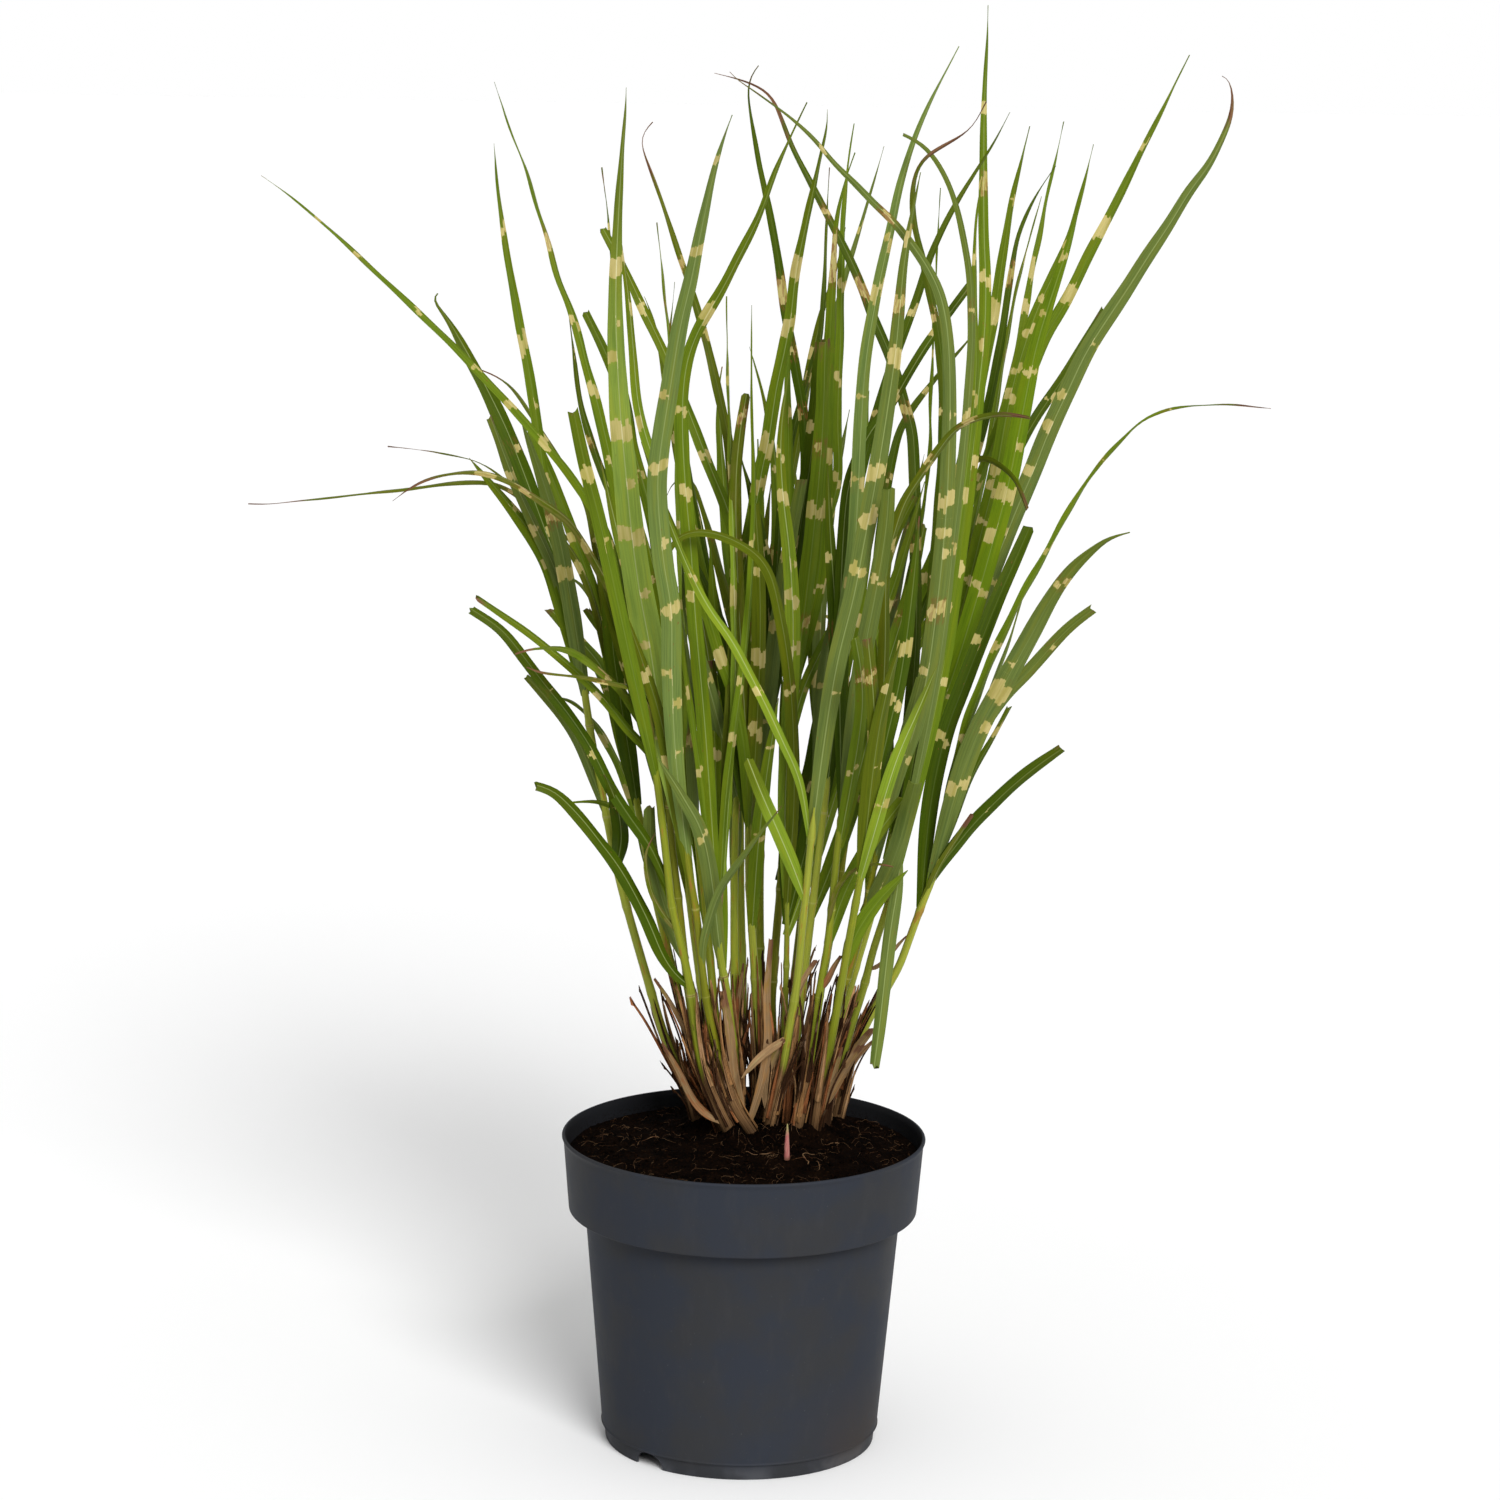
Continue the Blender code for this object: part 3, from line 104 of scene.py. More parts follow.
# Each shoot: name, base on the soil (x, y), depth of its top, culm radius, culm outline upwards, leaves.
# Each leaf: width, turn from facing the viewer (degrees, at base and tip), depth swept, end, outline.
# Outlines are (x, z) readings. All of it is in millimetres, apart from the culm radius.
SHOOTS = (
    ("shoot_01", (-28, 32), 12, CULM_RADIUS,
     ((-34, 220), (-48, 250), (-60, 289), (-72, 330), (-80, 360), (-88, 400), (-96, 440), (-103, 485),
      (-107, 510)),
     ((6, (20, 30), -18, CUT, ((-86, 390), (-95, 415), (-103, 435), (-112, 450), (-122, 463),
        (-136, 478))),
      (4, (10, 20), 14, CUT, ((-103, 485), (-110, 508), (-119, 526))),
      (8, (20, 50), -52, CUT, ((-105, 500), (-114, 528), (-123, 551), (-133, 572), (-145, 598),
        (-159, 635))),
      (12, (10, 35), 30, FINE, ((-107, 510), (-116, 540), (-126, 568), (-137, 597), (-148, 625),
        (-160, 650), (-172, 672), (-184, 693), (-194, 707), (-190, 709))),
      (7, (5, 30), 75, FINE, ((-107, 510), (-114, 545), (-121, 575), (-127, 605), (-131, 635),
        (-136, 665), (-141, 690), (-147, 722), (-151, 745), (-155, 775), (-157, 798))))),
    ("shoot_02", (-6, 0), -45, CULM_RADIUS,
     ((-18, 214), (-26, 235), (-31, 260), (-34, 284), (-39, 308), (-46, 336), (-49, 360), (-54, 400),
      (-60, 440), (-66, 470)),
     ((9, (20, 30), -12, CUT, ((-35, 286), (-43, 293), (-52, 306), (-60, 325), (-70, 345), (-80, 362),
        (-90, 375), (-100, 388), (-110, 399), (-120, 408), (-130, 411))),
      (4, (20, 60), -16, FINE, ((-42, 320), (-52, 332), (-59, 345), (-62, 358), (-63, 370), (-57, 383))),
      (6, (40, 50), 30, FINE, ((-46, 336), (-55, 362), (-64, 380), (-74, 393), (-85, 400), (-97, 402),
        (-116, 400))),
      (8, (15, 25), 10, CUT, ((-48, 350), (-60, 374), (-72, 391), (-85, 411), (-97, 435), (-112, 457),
        (-125, 473), (-138, 490), (-152, 507), (-170, 519))),
      (7, (40, 55), -35, FINE, ((-60, 440), (-75, 466), (-87, 478), (-95, 485), (-103, 491), (-112, 495),
        (-125, 496), (-135, 495), (-143, 492))),
      (5, (45, 60), -70, FINE, ((-58, 428), (-60, 455), (-68, 470), (-80, 474), (-95, 477), (-110, 479),
        (-128, 481), (-136, 484))),
      (6.5, (35, 50), -25, FINE, ((-66, 470), (-76, 520), (-87, 563), (-98, 583), (-112, 603),
        (-128, 622), (-150, 646), (-180, 677), (-200, 696), (-225, 719), (-250, 742), (-275, 763),
        (-295, 777))),
      (8, (50, 60), 25, FINE, ((-66, 470), (-78, 515), (-88, 535), (-100, 556), (-110, 572), (-122, 581),
        (-133, 588), (-142, 594), (-155, 600), (-168, 602), (-182, 601), (-195, 598), (-205, 593),
        (-217, 584))),
      (9, (5, 15), -95, CUT, ((-66, 470), (-78, 510), (-86, 545), (-93, 575), (-101, 605), (-109, 640))),
      (8, (10, 60), 8, CUT, ((-6, 198), (-14, 208), (-19, 222), (-24, 238))),
      (7, (35, 70), -14, CUT, ((-10, 202), (-24, 206), (-33, 217), (-40, 232), (-52, 252))))),
    ("shoot_03", (7, 6), -30, CULM_RADIUS,
     ((-6, 212), (-13, 232), (-19, 254), (-24, 276), (-28, 305), (-31, 332), (-36, 360), (-41, 395)),
     ((6, (10, 60), -60, FINE, ((-28, 296), (-27, 312), (-23, 330), (-17, 348), (-8, 362), (3, 378),
        (12, 390), (20, 401))),
      (6, (20, 40), -40, CUT, ((-35, 355), (-48, 413), (-64, 436), (-75, 447), (-85, 460), (-97, 473),
        (-108, 483), (-120, 493), (-135, 505), (-150, 515), (-166, 526))),
      (17.5, (0, 20), -165, SLIM, ((-41, 395), (-46, 412), (-52, 440), (-57, 470), (-62, 500), (-68, 530),
        (-73, 563), (-77, 600), (-81, 640), (-84, 690), (-84, 730), (-82, 780), (-79.5, 815),
        (-79, 832))),
      (12, (0, 25), -257, FINE, ((-41, 395), (-45, 430), (-48, 480), (-49, 520), (-54, 550), (-58, 590),
        (-57, 615), (-52, 650), (-46, 690), (-40, 717), (-35, 743), (-30, 768), (-25, 790), (-20, 806),
        (-16, 817))),
      (10.5, (5, 50), 20, SLIM, ((-41, 395), (-55, 480), (-66, 530), (-76, 570), (-83, 595), (-89, 620),
        (-95, 645), (-101, 665), (-106, 685), (-112, 703), (-119, 720), (-125, 742), (-131, 760),
        (-138, 783), (-147, 805), (-157, 834))),
      (7, (10, 40), -9, CUT, ((2, 205), (-4, 218), (-8, 240), (-10, 262), (-14, 284))),
      (6, (10, 50), -10, CUT, ((4, 200), (10, 224), (14, 250), (13, 285), (15, 318))))),
    ("shoot_04", (-2, 22), -8, CULM_RADIUS,
     ((-5, 235), (-9, 262), (-12, 285), (-16, 305), (-18, 328), (-18, 345)),
     ((5, (15, 40), -35, FINE, ((-18, 328), (-25, 380), (-30, 420), (-36, 458), (-42, 500), (-45, 535))),
      (6, (20, 70), 35, FINE, ((-18, 335), (-15, 400), (-11, 440), (-6, 480), (-3, 515), (-1, 550),
        (0, 590), (-1, 620), (-2.5, 660), (-3, 705))),
      (7, (20, 25), 110, FINE, ((-18, 345), (-14, 430), (-11, 500), (-11, 560), (-14, 610), (-18, 635),
        (-22, 652), (-26, 668), (-31, 688), (-37, 707), (-42, 722), (-46, 733), (-52, 750), (-58, 768),
        (-64, 783), (-69, 796), (-70, 803), (-67, 808), (-63, 812))),
      (5, (20, 50), 60, FINE, ((-18, 345), (-12, 420), (-10, 480), (-11, 520), (-12, 555), (-14, 600),
        (-15.5, 640), (-17, 670), (-18, 710))),
      (9.5, (10, 30), -120, FINE, ((-18, 345), (-27, 440), (-34, 510), (-38, 560), (-42, 600), (-44, 640),
        (-42, 668), (-36, 687), (-28, 702), (-20, 716), (-12, 732), (-4, 748), (3, 764), (10, 785),
        (17, 801), (28, 825))),
      (4, (30, 60), -14, FINE, ((-14, 300), (-17, 330), (-15, 350), (-9, 363))))),
    ("shoot_05", (9, 38), 40, CULM_RADIUS,
     ((8.5, 232), (6.7, 268), (5.2, 296), (3, 324), (1, 350), (0, 385), (0, 420)),
     ((8, (10, 30), -60, FINE, ((1, 380), (-3, 430), (-10, 468), (-18, 490), (-25, 512), (-33, 535),
        (-42, 557), (-52, 580), (-59, 600))),
      (8, (0, 15), -20, CUT, ((0, 420), (-5, 480), (-9, 540), (-11, 595), (-9, 628), (-5.5, 651))),
      (9.5, (5, 35), -130, FINE, ((0, 420), (-6, 470), (-9, 515), (-7, 535), (-4, 555), (1, 585),
        (4, 605), (8, 625), (12, 655), (16, 675), (20, 698), (23, 727), (28, 752), (33, 777), (38, 800),
        (40, 812), (40, 821))),
      (8, (15, 35), 70, CUT, ((0, 420), (-4, 500), (-9, 555), (-16, 582), (-25, 603), (-38, 635),
        (-48, 660), (-58, 682), (-70, 706), (-80, 727), (-92, 748))))),
    ("shoot_06", (7, 56), 110, CULM_RADIUS,
     ((9, 266), (8.5, 300), (7.5, 350), (8, 400), (9, 440), (10, 480)),
     ((7, (10, 30), 30, FINE, ((10, 480), (22, 540), (29, 580), (31, 610), (29, 640), (25, 662),
        (21, 682), (17, 702), (14, 722), (10, 745), (5, 768), (1, 785), (-2, 800), (-5, 815), (-7, 832),
        (-5, 841), (-1, 846))),
      (5, (10, 40), 90, FINE, ((10, 480), (14, 540), (16, 580), (20, 612), (24, 635), (29, 653),
        (33, 668), (38, 685), (39.5, 705), (40.5, 735), (41, 765), (42, 787))),
      (10, (30, 60), 120, FINE, ((8, 400), (2, 450), (-8, 500), (-20, 545), (-30, 580), (-38, 600),
        (-48, 598), (-52, 590))),
      (9, (20, 60), 150, FINE, ((9, 440), (12, 500), (14, 560), (12, 610), (5, 650), (-4, 680))))),
    ("shoot_07", (20, 57), 85, CULM_RADIUS,
     ((16, 269), (16.5, 293), (18.4, 325), (20.2, 352), (22, 400), (24, 450), (25, 490)),
     ((12.5, (0, 35), -60, SLIM, ((25, 470), (33, 508), (39, 540), (41, 570), (42, 600), (42.5, 640),
        (43.5, 680), (44.5, 710), (45.5, 735), (47, 758), (51, 778), (57, 796))),
      (7, (20, 40), 35, FINE, ((25, 490), (40, 560), (50, 600), (49, 640), (50, 690), (50, 730),
        (51, 765), (53, 790), (56, 813))),
      (6, (15, 40), 80, FINE, ((25, 490), (38, 600), (46, 690), (52, 720), (58, 742), (64, 763),
        (70, 785), (74, 800))),
      (7, (10, 25), 15, FINE, ((22, 425), (30, 468), (42, 497), (52, 517), (62, 540), (68, 562))),
      (9, (30, 55), 170, FINE, ((22, 400), (24, 450), (30, 500), (36, 545), (38, 580), (33, 610))))),
    ("shoot_08", (22, 40), 28, THIN_CULM_RADIUS,
     ((23.5, 250), (24.5, 290), (24.5, 330), (24, 350)),
     ((10, (0, 20), -25, FINE, ((24, 345), (22, 400), (23.5, 450), (25, 500), (24, 530), (21.5, 560),
        (17.5, 590), (15.5, 620), (17, 645), (20, 665))),
      (8.5, (10, 50), -95, WORN, ((24, 345), (27, 410), (23, 480), (14, 530), (8, 547), (0, 556),
        (-10, 562), (-20, 566), (-32, 568), (-42, 566), (-49, 560), (-54, 548), (-57, 537))))),
    ("shoot_09", (15, 18), -48, CULM_RADIUS,
     ((19, 216), (24.4, 243), (27.6, 265), (30.1, 281), (32, 298), (33.9, 326), (35.8, 346), (38, 375),
      (40, 400)),
     ((9, (0, 10), -20, CUT, ((35.5, 343), (28, 362), (18, 385), (8, 407), (-1, 429))),
      (6, (10, 30), -70, FINE, ((38, 375), (31, 415), (20, 440), (10, 461), (-1, 482), (-12, 502),
        (-27, 523), (-40, 548), (-52, 577), (-60, 600), (-68, 622))),
      (9, (10, 40), 30, FINE, ((40, 400), (44, 430), (48, 465), (54, 505), (60, 550), (62, 590),
        (63, 630), (65, 670), (69, 700), (74, 728), (79, 752), (84, 778), (91, 802), (100, 825),
        (109, 843), (117, 859))),
      (11.5, (0, 30), -110, FINE, ((40, 400), (45, 440), (52, 490), (61, 530), (66, 560), (71, 590),
        (75, 615), (79, 645), (83, 678), (85, 705), (87, 730), (90, 752), (93, 768), (96, 785))),
      (5, (20, 50), -12, CUT, ((29, 272), (33, 288), (38, 297), (43, 305))),
      (8, (10, 20), -12, CUT, ((18, 212), (22, 230), (26, 252), (30, 275))),
      (6, (10, 40), -16, CUT, ((16, 204), (13, 222), (17, 240), (24, 254))),
      (5, (0, 10), -14, FINE, ((26, 255), (20, 251), (9, 243), (-2, 229))))),
    ("shoot_10", (32, 12), -28, CULM_RADIUS,
     ((36.8, 222), (40, 243), (43.2, 266), (46.4, 292), (49.6, 313), (52, 341), (55, 380), (60, 420)),
     ((5, (30, 60), -18, CUT, ((45, 283), (50, 291), (53, 300), (58, 308))),
      (5, (50, 60), -40, FINE, ((50, 322), (53, 345), (60, 358), (69, 364), (79, 366), (89, 364))),
      (11, (0, 15), -75, CUT, ((60, 420), (64, 460), (68, 495), (73, 525), (77, 550), (80, 575),
        (81, 596))),
      (7, (20, 25), 60, FINE, ((60, 420), (56, 500), (57, 560), (64, 605), (74, 645), (82, 672),
        (89, 692), (96, 712), (102, 733), (109, 750), (118, 768), (130, 788), (139, 803), (148, 821))),
      (7, (15, 25), 25, CUT, ((58, 405), (53, 500), (55, 585), (62, 615), (70, 632), (80, 645), (90, 663),
        (101, 682), (112, 698), (127, 719))))),
    ("shoot_11", (38, 28), 2, CULM_RADIUS,
     ((50, 250), (56, 272), (60.6, 290), (66, 308), (73, 340), (77, 365), (80, 385)),
     ((11.5, (0, 10), -55, CUT, ((72, 335), (82, 352), (90, 372), (96, 395), (101, 417))),
      (10, (5, 20), -18, FINE, ((76, 362), (81, 400), (83, 430), (82, 455), (79, 478), (75, 505))),
      (8, (5, 15), -48, CUT, ((78, 372), (86, 410), (92, 435), (98, 460), (103, 481))),
      (11, (0, 25), -190, SLIM, ((80, 385), (90, 420), (100, 450), (107, 485), (111, 520), (114, 555),
        (116, 590), (116.5, 620), (116.5, 650), (115, 680), (112, 702), (107, 718), (99, 732), (91, 743),
        (80, 756), (70, 765), (58, 777), (45, 789), (33, 803), (18, 816), (4, 826), (-8, 834), (-15, 838),
        (-18, 842))),
      (8, (20, 50), -130, WORN, ((80, 385), (80, 480), (80, 545), (85, 572), (91, 590), (99, 603),
        (110, 620), (120, 633), (132, 639), (144, 642), (155, 642), (165, 640))),
      (7, (10, 20), 30, CUT, ((80, 385), (76, 480), (79, 540), (84, 562), (90, 578), (97, 592))),
      (5, (40, 60), -24, FINE, ((60, 289), (63, 320), (68, 350), (72, 370), (75, 386))),
      (9, (10, 20), -4, CUT, ((42, 215), (50, 240), (60, 268))),
      (4, (20, 60), 6, CUT, ((50, 250), (58, 280), (63, 315), (66, 338))))),
    ("shoot_12", (50, 32), -4, CULM_RADIUS,
     ((53, 222), (59.6, 243), (66.2, 267), (72.8, 290), (77.8, 312), (86, 340), (95, 375)),
     ((8.5, (0, 10), -30, CUT, ((92, 366), (92, 352), (90, 338), (87.5, 318), (85, 290), (82.5, 262),
        (80, 238))),
      (9, (0, 20), 85, FINE, ((95, 375), (108, 440), (118, 500), (125, 560), (130, 610), (133, 650),
        (136, 690), (136, 720), (134.5, 745), (133.5, 770), (133, 795), (132.5, 820), (133, 845),
        (133.5, 865), (133.5, 883))),
      (9, (18, 50), 20, FINE, ((95, 375), (106, 450), (116, 510), (122, 560), (127, 610), (131, 660),
        (130, 700), (129, 735), (130, 762), (133, 785))),
      (6.5, (20, 40), -40, WORN, ((95, 375), (112, 480), (120, 560), (126, 630), (128.5, 680), (128, 705),
        (126, 728), (122, 748), (118, 764), (113, 778), (107, 789), (100, 798), (92, 804), (85, 807))),
      (7, (20, 35), -100, FINE, ((95, 375), (104, 470), (110, 560), (113, 620), (112, 660), (108, 692),
        (103, 714), (98, 735), (94, 750), (91.5, 765), (91.5, 777), (94, 787), (99, 794), (108, 800),
        (118, 806), (126, 812), (134, 827))),
      (8, (20, 30), 130, FINE, ((95, 375), (98, 480), (98, 560), (95, 625), (90, 645), (83, 668),
        (76, 685), (69, 700), (62, 718), (55, 733), (47, 748), (38, 765), (28, 783), (20, 798), (13, 815),
        (8, 826), (2, 832), (-10, 837), (-27, 841))),
      (4, (30, 50), -16, FINE, ((75, 300), (80, 300), (86, 306), (92, 314), (98, 321))),
      (7, (20, 50), -12, CUT, ((56, 230), (62, 240), (70, 251), (78, 262))))),
    ("shoot_13", (57, 46), 22, CULM_RADIUS,
     ((66, 245), (73, 262), (82, 280), (93, 300), (99, 317), (106, 338), (114, 360), (118, 375)),
     ((9, (20, 30), -35, CUT, ((112, 354), (119, 368), (127, 379), (136, 391), (148, 404), (160, 416),
        (174, 428), (189, 439))),
      (13, (5, 25), -60, FINE, ((114, 360), (119, 385), (126, 412), (133, 435), (141, 455), (150, 472),
        (158, 488), (168, 507), (178, 527), (188, 543), (197, 554), (206, 562), (214, 568), (227, 572))),
      (9, (15, 25), -12, CUT, ((118, 375), (127, 420), (136, 442), (146, 460), (156, 474), (166, 484),
        (177, 497), (189, 511), (198, 519), (206, 525))),
      (8, (40, 60), -10, SLIM, ((118, 375), (128, 440), (136, 468), (144, 490), (151, 507), (160, 527),
        (168, 543), (177, 560), (186, 578), (195, 595), (204, 608), (213, 620), (222, 630), (231, 639),
        (241, 644), (253, 648), (268, 649.5), (285, 650), (309, 648))),
      (4, (30, 50), 40, FINE, ((118, 375), (130, 430), (142, 465), (150, 487), (157, 508), (162, 527),
        (167, 545))),
      (11, (10, 20), 75, CUT, ((106, 338), (110, 400), (118, 445), (128, 475), (138, 503), (148, 530),
        (157, 552), (166, 574))),
      (5, (30, 50), -20, CUT, ((106, 338), (116, 364), (126, 381), (136, 397))),
      (5, (30, 40), -8, CUT, ((118, 375), (129, 405), (138, 428), (145, 441), (151, 452), (157, 464))),
      (6, (45, 70), -10, CUT, ((60, 232), (69, 244), (80, 256))))),
    ("shoot_14", (-14, 42), 105, CULM_RADIUS,
     ((-18, 260), (-24, 320), (-31, 380), (-38, 430)),
     ((8, (10, 20), 60, CUT, ((-38, 430), (-58, 560), (-72, 615), (-82, 655), (-90, 675), (-102, 699))),
      (8, (10, 40), -20, FINE, ((-38, 430), (-50, 540), (-58, 600), (-66, 626), (-71, 648), (-74, 680),
        (-77, 710), (-81, 737), (-84, 765))),
      (7, (10, 30), 110, FINE, ((-38, 430), (-62, 530), (-78, 575), (-90, 600), (-99, 625), (-104, 642),
        (-108, 668), (-112, 700))),
      (5, (20, 40), 140, FINE, ((-38, 430), (-44, 560), (-47, 640), (-51, 680), (-54, 702), (-57, 728),
        (-60, 753))),
      (5, (20, 60), 170, FINE, ((-31, 380), (-60, 560), (-75, 640), (-85, 700), (-88, 745), (-93, 785))),
      (9, (40, 60), 110, FINE, ((-24, 320), (-34, 390), (-50, 440), (-72, 480), (-90, 500))))),
    ("shoot_15", (36, 48), 110, CULM_RADIUS,
     ((45, 280), (54, 340), (62, 400), (72, 450)),
     ((9.5, (5, 30), 20, FINE, ((72, 450), (95, 520), (112, 560), (122, 595), (128, 625), (133, 655),
        (138, 682), (142, 705), (145, 730), (148, 752), (151, 772), (156, 795), (160, 813))),
      (7, (15, 30), 60, FINE, ((72, 450), (105, 530), (128, 600), (138, 640), (144, 672), (148, 700),
        (151, 725), (154, 745), (159, 760), (165, 773), (176, 790))),
      (7, (15, 40), 110, FINE, ((72, 450), (110, 540), (134, 600), (147, 638), (154, 665), (159, 695),
        (163, 725), (167, 745), (170, 765), (174, 785), (180, 816))),
      (7, (15, 25), 150, FINE, ((72, 450), (76, 560), (84, 620), (92, 641), (104, 658), (115, 672),
        (126, 685), (134, 697))),
      (4, (40, 60), -30, FINE, ((62, 400), (90, 520), (104, 600), (105, 650), (106, 700), (107, 750),
        (108, 776))),
      (10, (20, 60), 170, FINE, ((54, 340), (60, 400), (72, 450), (84, 490), (96, 510), (104, 500))))),
    ("shoot_16", (-3, 60), 140, CULM_RADIUS,
     ((-2, 280), (-4, 340), (-5, 400), (-4, 450)),
     ((10, (20, 50), 140, FINE, ((-4, 450), (-8, 500), (-15, 560), (-20, 610), (-22, 650), (-20, 668))),
      (9, (10, 40), 90, FINE, ((-4, 450), (-22, 520), (-40, 590), (-52, 650), (-60, 690), (-67, 709))),
      (4, (30, 50), 40, FINE, ((-4, 450), (-25, 540), (-42, 620), (-51, 680), (-50, 705), (-49, 718))),
      (9, (20, 50), 60, FINE, ((-4, 450), (6, 520), (18, 580), (28, 640), (36, 690), (48, 730),
        (52, 752))),
      (10, (30, 60), 160, FINE, ((-5, 400), (4, 450), (18, 490), (34, 515), (46, 518), (54, 505))))),
    ("shoot_17", (48, 60), 95, CULM_RADIUS,
     ((62, 280), (75, 330), (88, 380), (98, 420)),
     ((12.5, (0, 20), -70, FINE, ((98, 420), (118, 470), (130, 510), (138, 540), (145, 568), (152, 597),
        (157, 625), (162, 655), (167, 682), (173, 705), (180, 728), (186, 748), (192, 775))),
      (9.5, (5, 30), 30, FINE, ((98, 420), (115, 480), (128, 530), (138, 575), (145, 607), (150, 640),
        (155, 665), (162, 690), (169, 710), (178, 730), (185, 748), (190, 767), (198, 803))),
      (9.5, (5, 30), 70, FINE, ((98, 420), (122, 500), (138, 560), (148, 610), (155, 640), (163, 665),
        (173, 690), (182, 706), (190, 722), (198, 740), (206, 756), (213, 770), (222, 790), (233, 813),
        (253, 856))),
      (12, (5, 20), -20, FINE, ((98, 420), (120, 480), (136, 525), (148, 558), (158, 585), (168, 610),
        (176, 632), (186, 655), (197, 680), (209, 700), (221, 719), (233, 739), (245, 758), (256, 777),
        (266, 791), (273, 805), (278, 818), (279.5, 829), (278, 839), (275.5, 845), (272.5, 844))),
      (8, (15, 30), 120, CUT, ((98, 420), (118, 500), (134, 560), (146, 595), (156, 617), (168, 640),
        (179, 657), (190, 675), (207, 705))),
      (7.5, (20, 50), -130, WORN, ((98, 420), (112, 500), (120, 560), (121, 590), (125, 606), (132, 614),
        (139, 616), (148, 611), (157, 603), (165, 585))),
      (6, (20, 50), 150, FINE, ((88, 380), (125, 540), (140, 620), (147, 670), (152, 702), (157, 728),
        (168, 772))))),
    ("shoot_18", (-26, 50), 78, CULM_RADIUS,
     ((-34, 250), (-46, 300), (-58, 350), (-68, 400), (-78, 450)),
     ((7, (50, 60), -20, SLIM, ((-78, 450), (-92, 510), (-104, 545), (-116, 563), (-128, 577),
        (-140, 587), (-150, 593), (-158, 596), (-172, 596), (-190, 594), (-210, 591), (-230, 588.5),
        (-250, 586), (-270, 583.5), (-290, 581), (-304, 581))),
      (6, (35, 50), 40, FINE, ((-78, 450), (-92, 540), (-100, 583), (-112, 602), (-122, 618), (-132, 634),
        (-143, 650), (-153, 659), (-173, 667))),
      (3, (30, 50), 90, SLIM, ((-78, 450), (-100, 540), (-125, 578), (-140, 590), (-147, 596),
        (-155, 602), (-165, 608), (-180, 612), (-200, 615), (-220, 617))),
      (9, (10, 30), 20, CUT, ((-78, 450), (-90, 510), (-103, 550), (-114, 580), (-124, 605),
        (-134, 627))),
      (9, (25, 40), 60, FINE, ((-76, 440), (-84, 500), (-90, 515), (-96, 526), (-104, 536), (-113, 541))),
      (9, (40, 60), 120, FINE, ((-58, 350), (-70, 400), (-88, 440), (-106, 462), (-122, 466))))),
    ("shoot_19", (-12, 10), -18, CULM_RADIUS,
     ((-20, 215), (-28, 240), (-34, 275), (-38, 305), (-42, 340), (-47, 380), (-50, 420)),
     ((9, (15, 30), -60, FINE, ((-50, 420), (-60, 455), (-70, 490), (-80, 525), (-88, 560))),
      (8, (10, 30), 45, CUT, ((-50, 420), (-54, 470), (-60, 520), (-68, 562))),
      (8, (35, 55), -10, CUT, ((-14, 204), (-22, 222), (-28, 244), (-31, 262))),
      (4, (30, 50), -12, CUT, ((-27, 240), (-36, 257), (-46, 276), (-56, 291))))),
    ("shoot_20", (-5, 36), 55, CULM_RADIUS,
     ((-6, 240), (-7, 290), (-8, 340), (-8, 390), (-6, 430)),
     ((9, (10, 30), 40, FINE, ((-6, 430), (-3, 480), (2, 530), (4, 580), (2, 625))),
      (9, (10, 30), 70, CUT, ((-8, 390), (-16, 440), (-26, 490), (-33, 530))),
      (4, (30, 60), -12, CUT, ((-6, 262), (-4, 280), (-2, 302))))),
    ("shoot_21", (27, 27), -4, CULM_RADIUS,
     ((30, 240), (34, 280), (39, 330), (44, 380), (49, 430)),
     ((9, (10, 25), -30, FINE, ((49, 430), (52, 470), (50, 520), (46, 570), (44, 610))),
      (8, (10, 25), 20, FINE, ((49, 430), (56, 480), (66, 530), (72, 570))),
      (8, (20, 40), -10, CUT, ((31, 214), (34, 236), (39, 262), (43, 284))))),
    ("shoot_22", (44, 14), -44, CULM_RADIUS,
     ((48, 225), (54, 260), (60, 300), (67, 345), (74, 390)),
     ((10, (10, 25), -50, FINE, ((74, 390), (80, 430), (90, 480), (96, 530), (100, 580))),
      (9, (10, 25), -80, CUT, ((74, 390), (76, 430), (74, 470), (70, 505))),
      (8, (20, 40), -8, CUT, ((46, 204), (52, 226), (58, 250))),
      (7, (20, 50), -10, CUT, ((47, 206), (54, 222), (63, 238), (72, 252))))),
    ("shoot_23", (27, 66), 125, CULM_RADIUS,
     ((29, 280), (34, 340), (39, 400), (43, 450)),
     ((9, (10, 30), 60, FINE, ((43, 450), (50, 510), (60, 570), (66, 620), (68, 655))),
      (8, (20, 40), 110, FINE, ((43, 450), (36, 510), (28, 570), (24, 615))),
      (9, (30, 50), 165, FINE, ((39, 400), (46, 450), (58, 495), (72, 520), (86, 524))))),
    ("shoot_24", (-16, 23), 22, CULM_RADIUS,
     ((-21, 240), (-28, 290), (-35, 340), (-41, 390), (-46, 430)),
     ((9, (10, 30), 40, FINE, ((-46, 430), (-58, 480), (-72, 530), (-84, 575), (-92, 610))),
      (8, (25, 45), 80, CUT, ((-46, 430), (-66, 470), (-86, 500), (-100, 520))),
      (6, (20, 60), -10, CUT, ((-20, 225), (-28, 245), (-36, 258))))),
)

# Leaves that fill the clump between those whose outlines are read, in millimetres and degrees. CROWN is the
# point (x, z) that they lean out from. The other pairs, here and below, are ranges of random draws.
CROWN = (11, 190)
FULL_SHOOT = 8
FILL_SEED = 40
FILL_RISE, FILL_DRIFT, FILL_CURL = (100, 230), (6, 30), (-8, 8)
FILL_WIDTH, FILL_SWEEP = (8.5, 12), (-90, 110)
FILL_TURN, FILL_TIP_TURN = (0, 30), 35

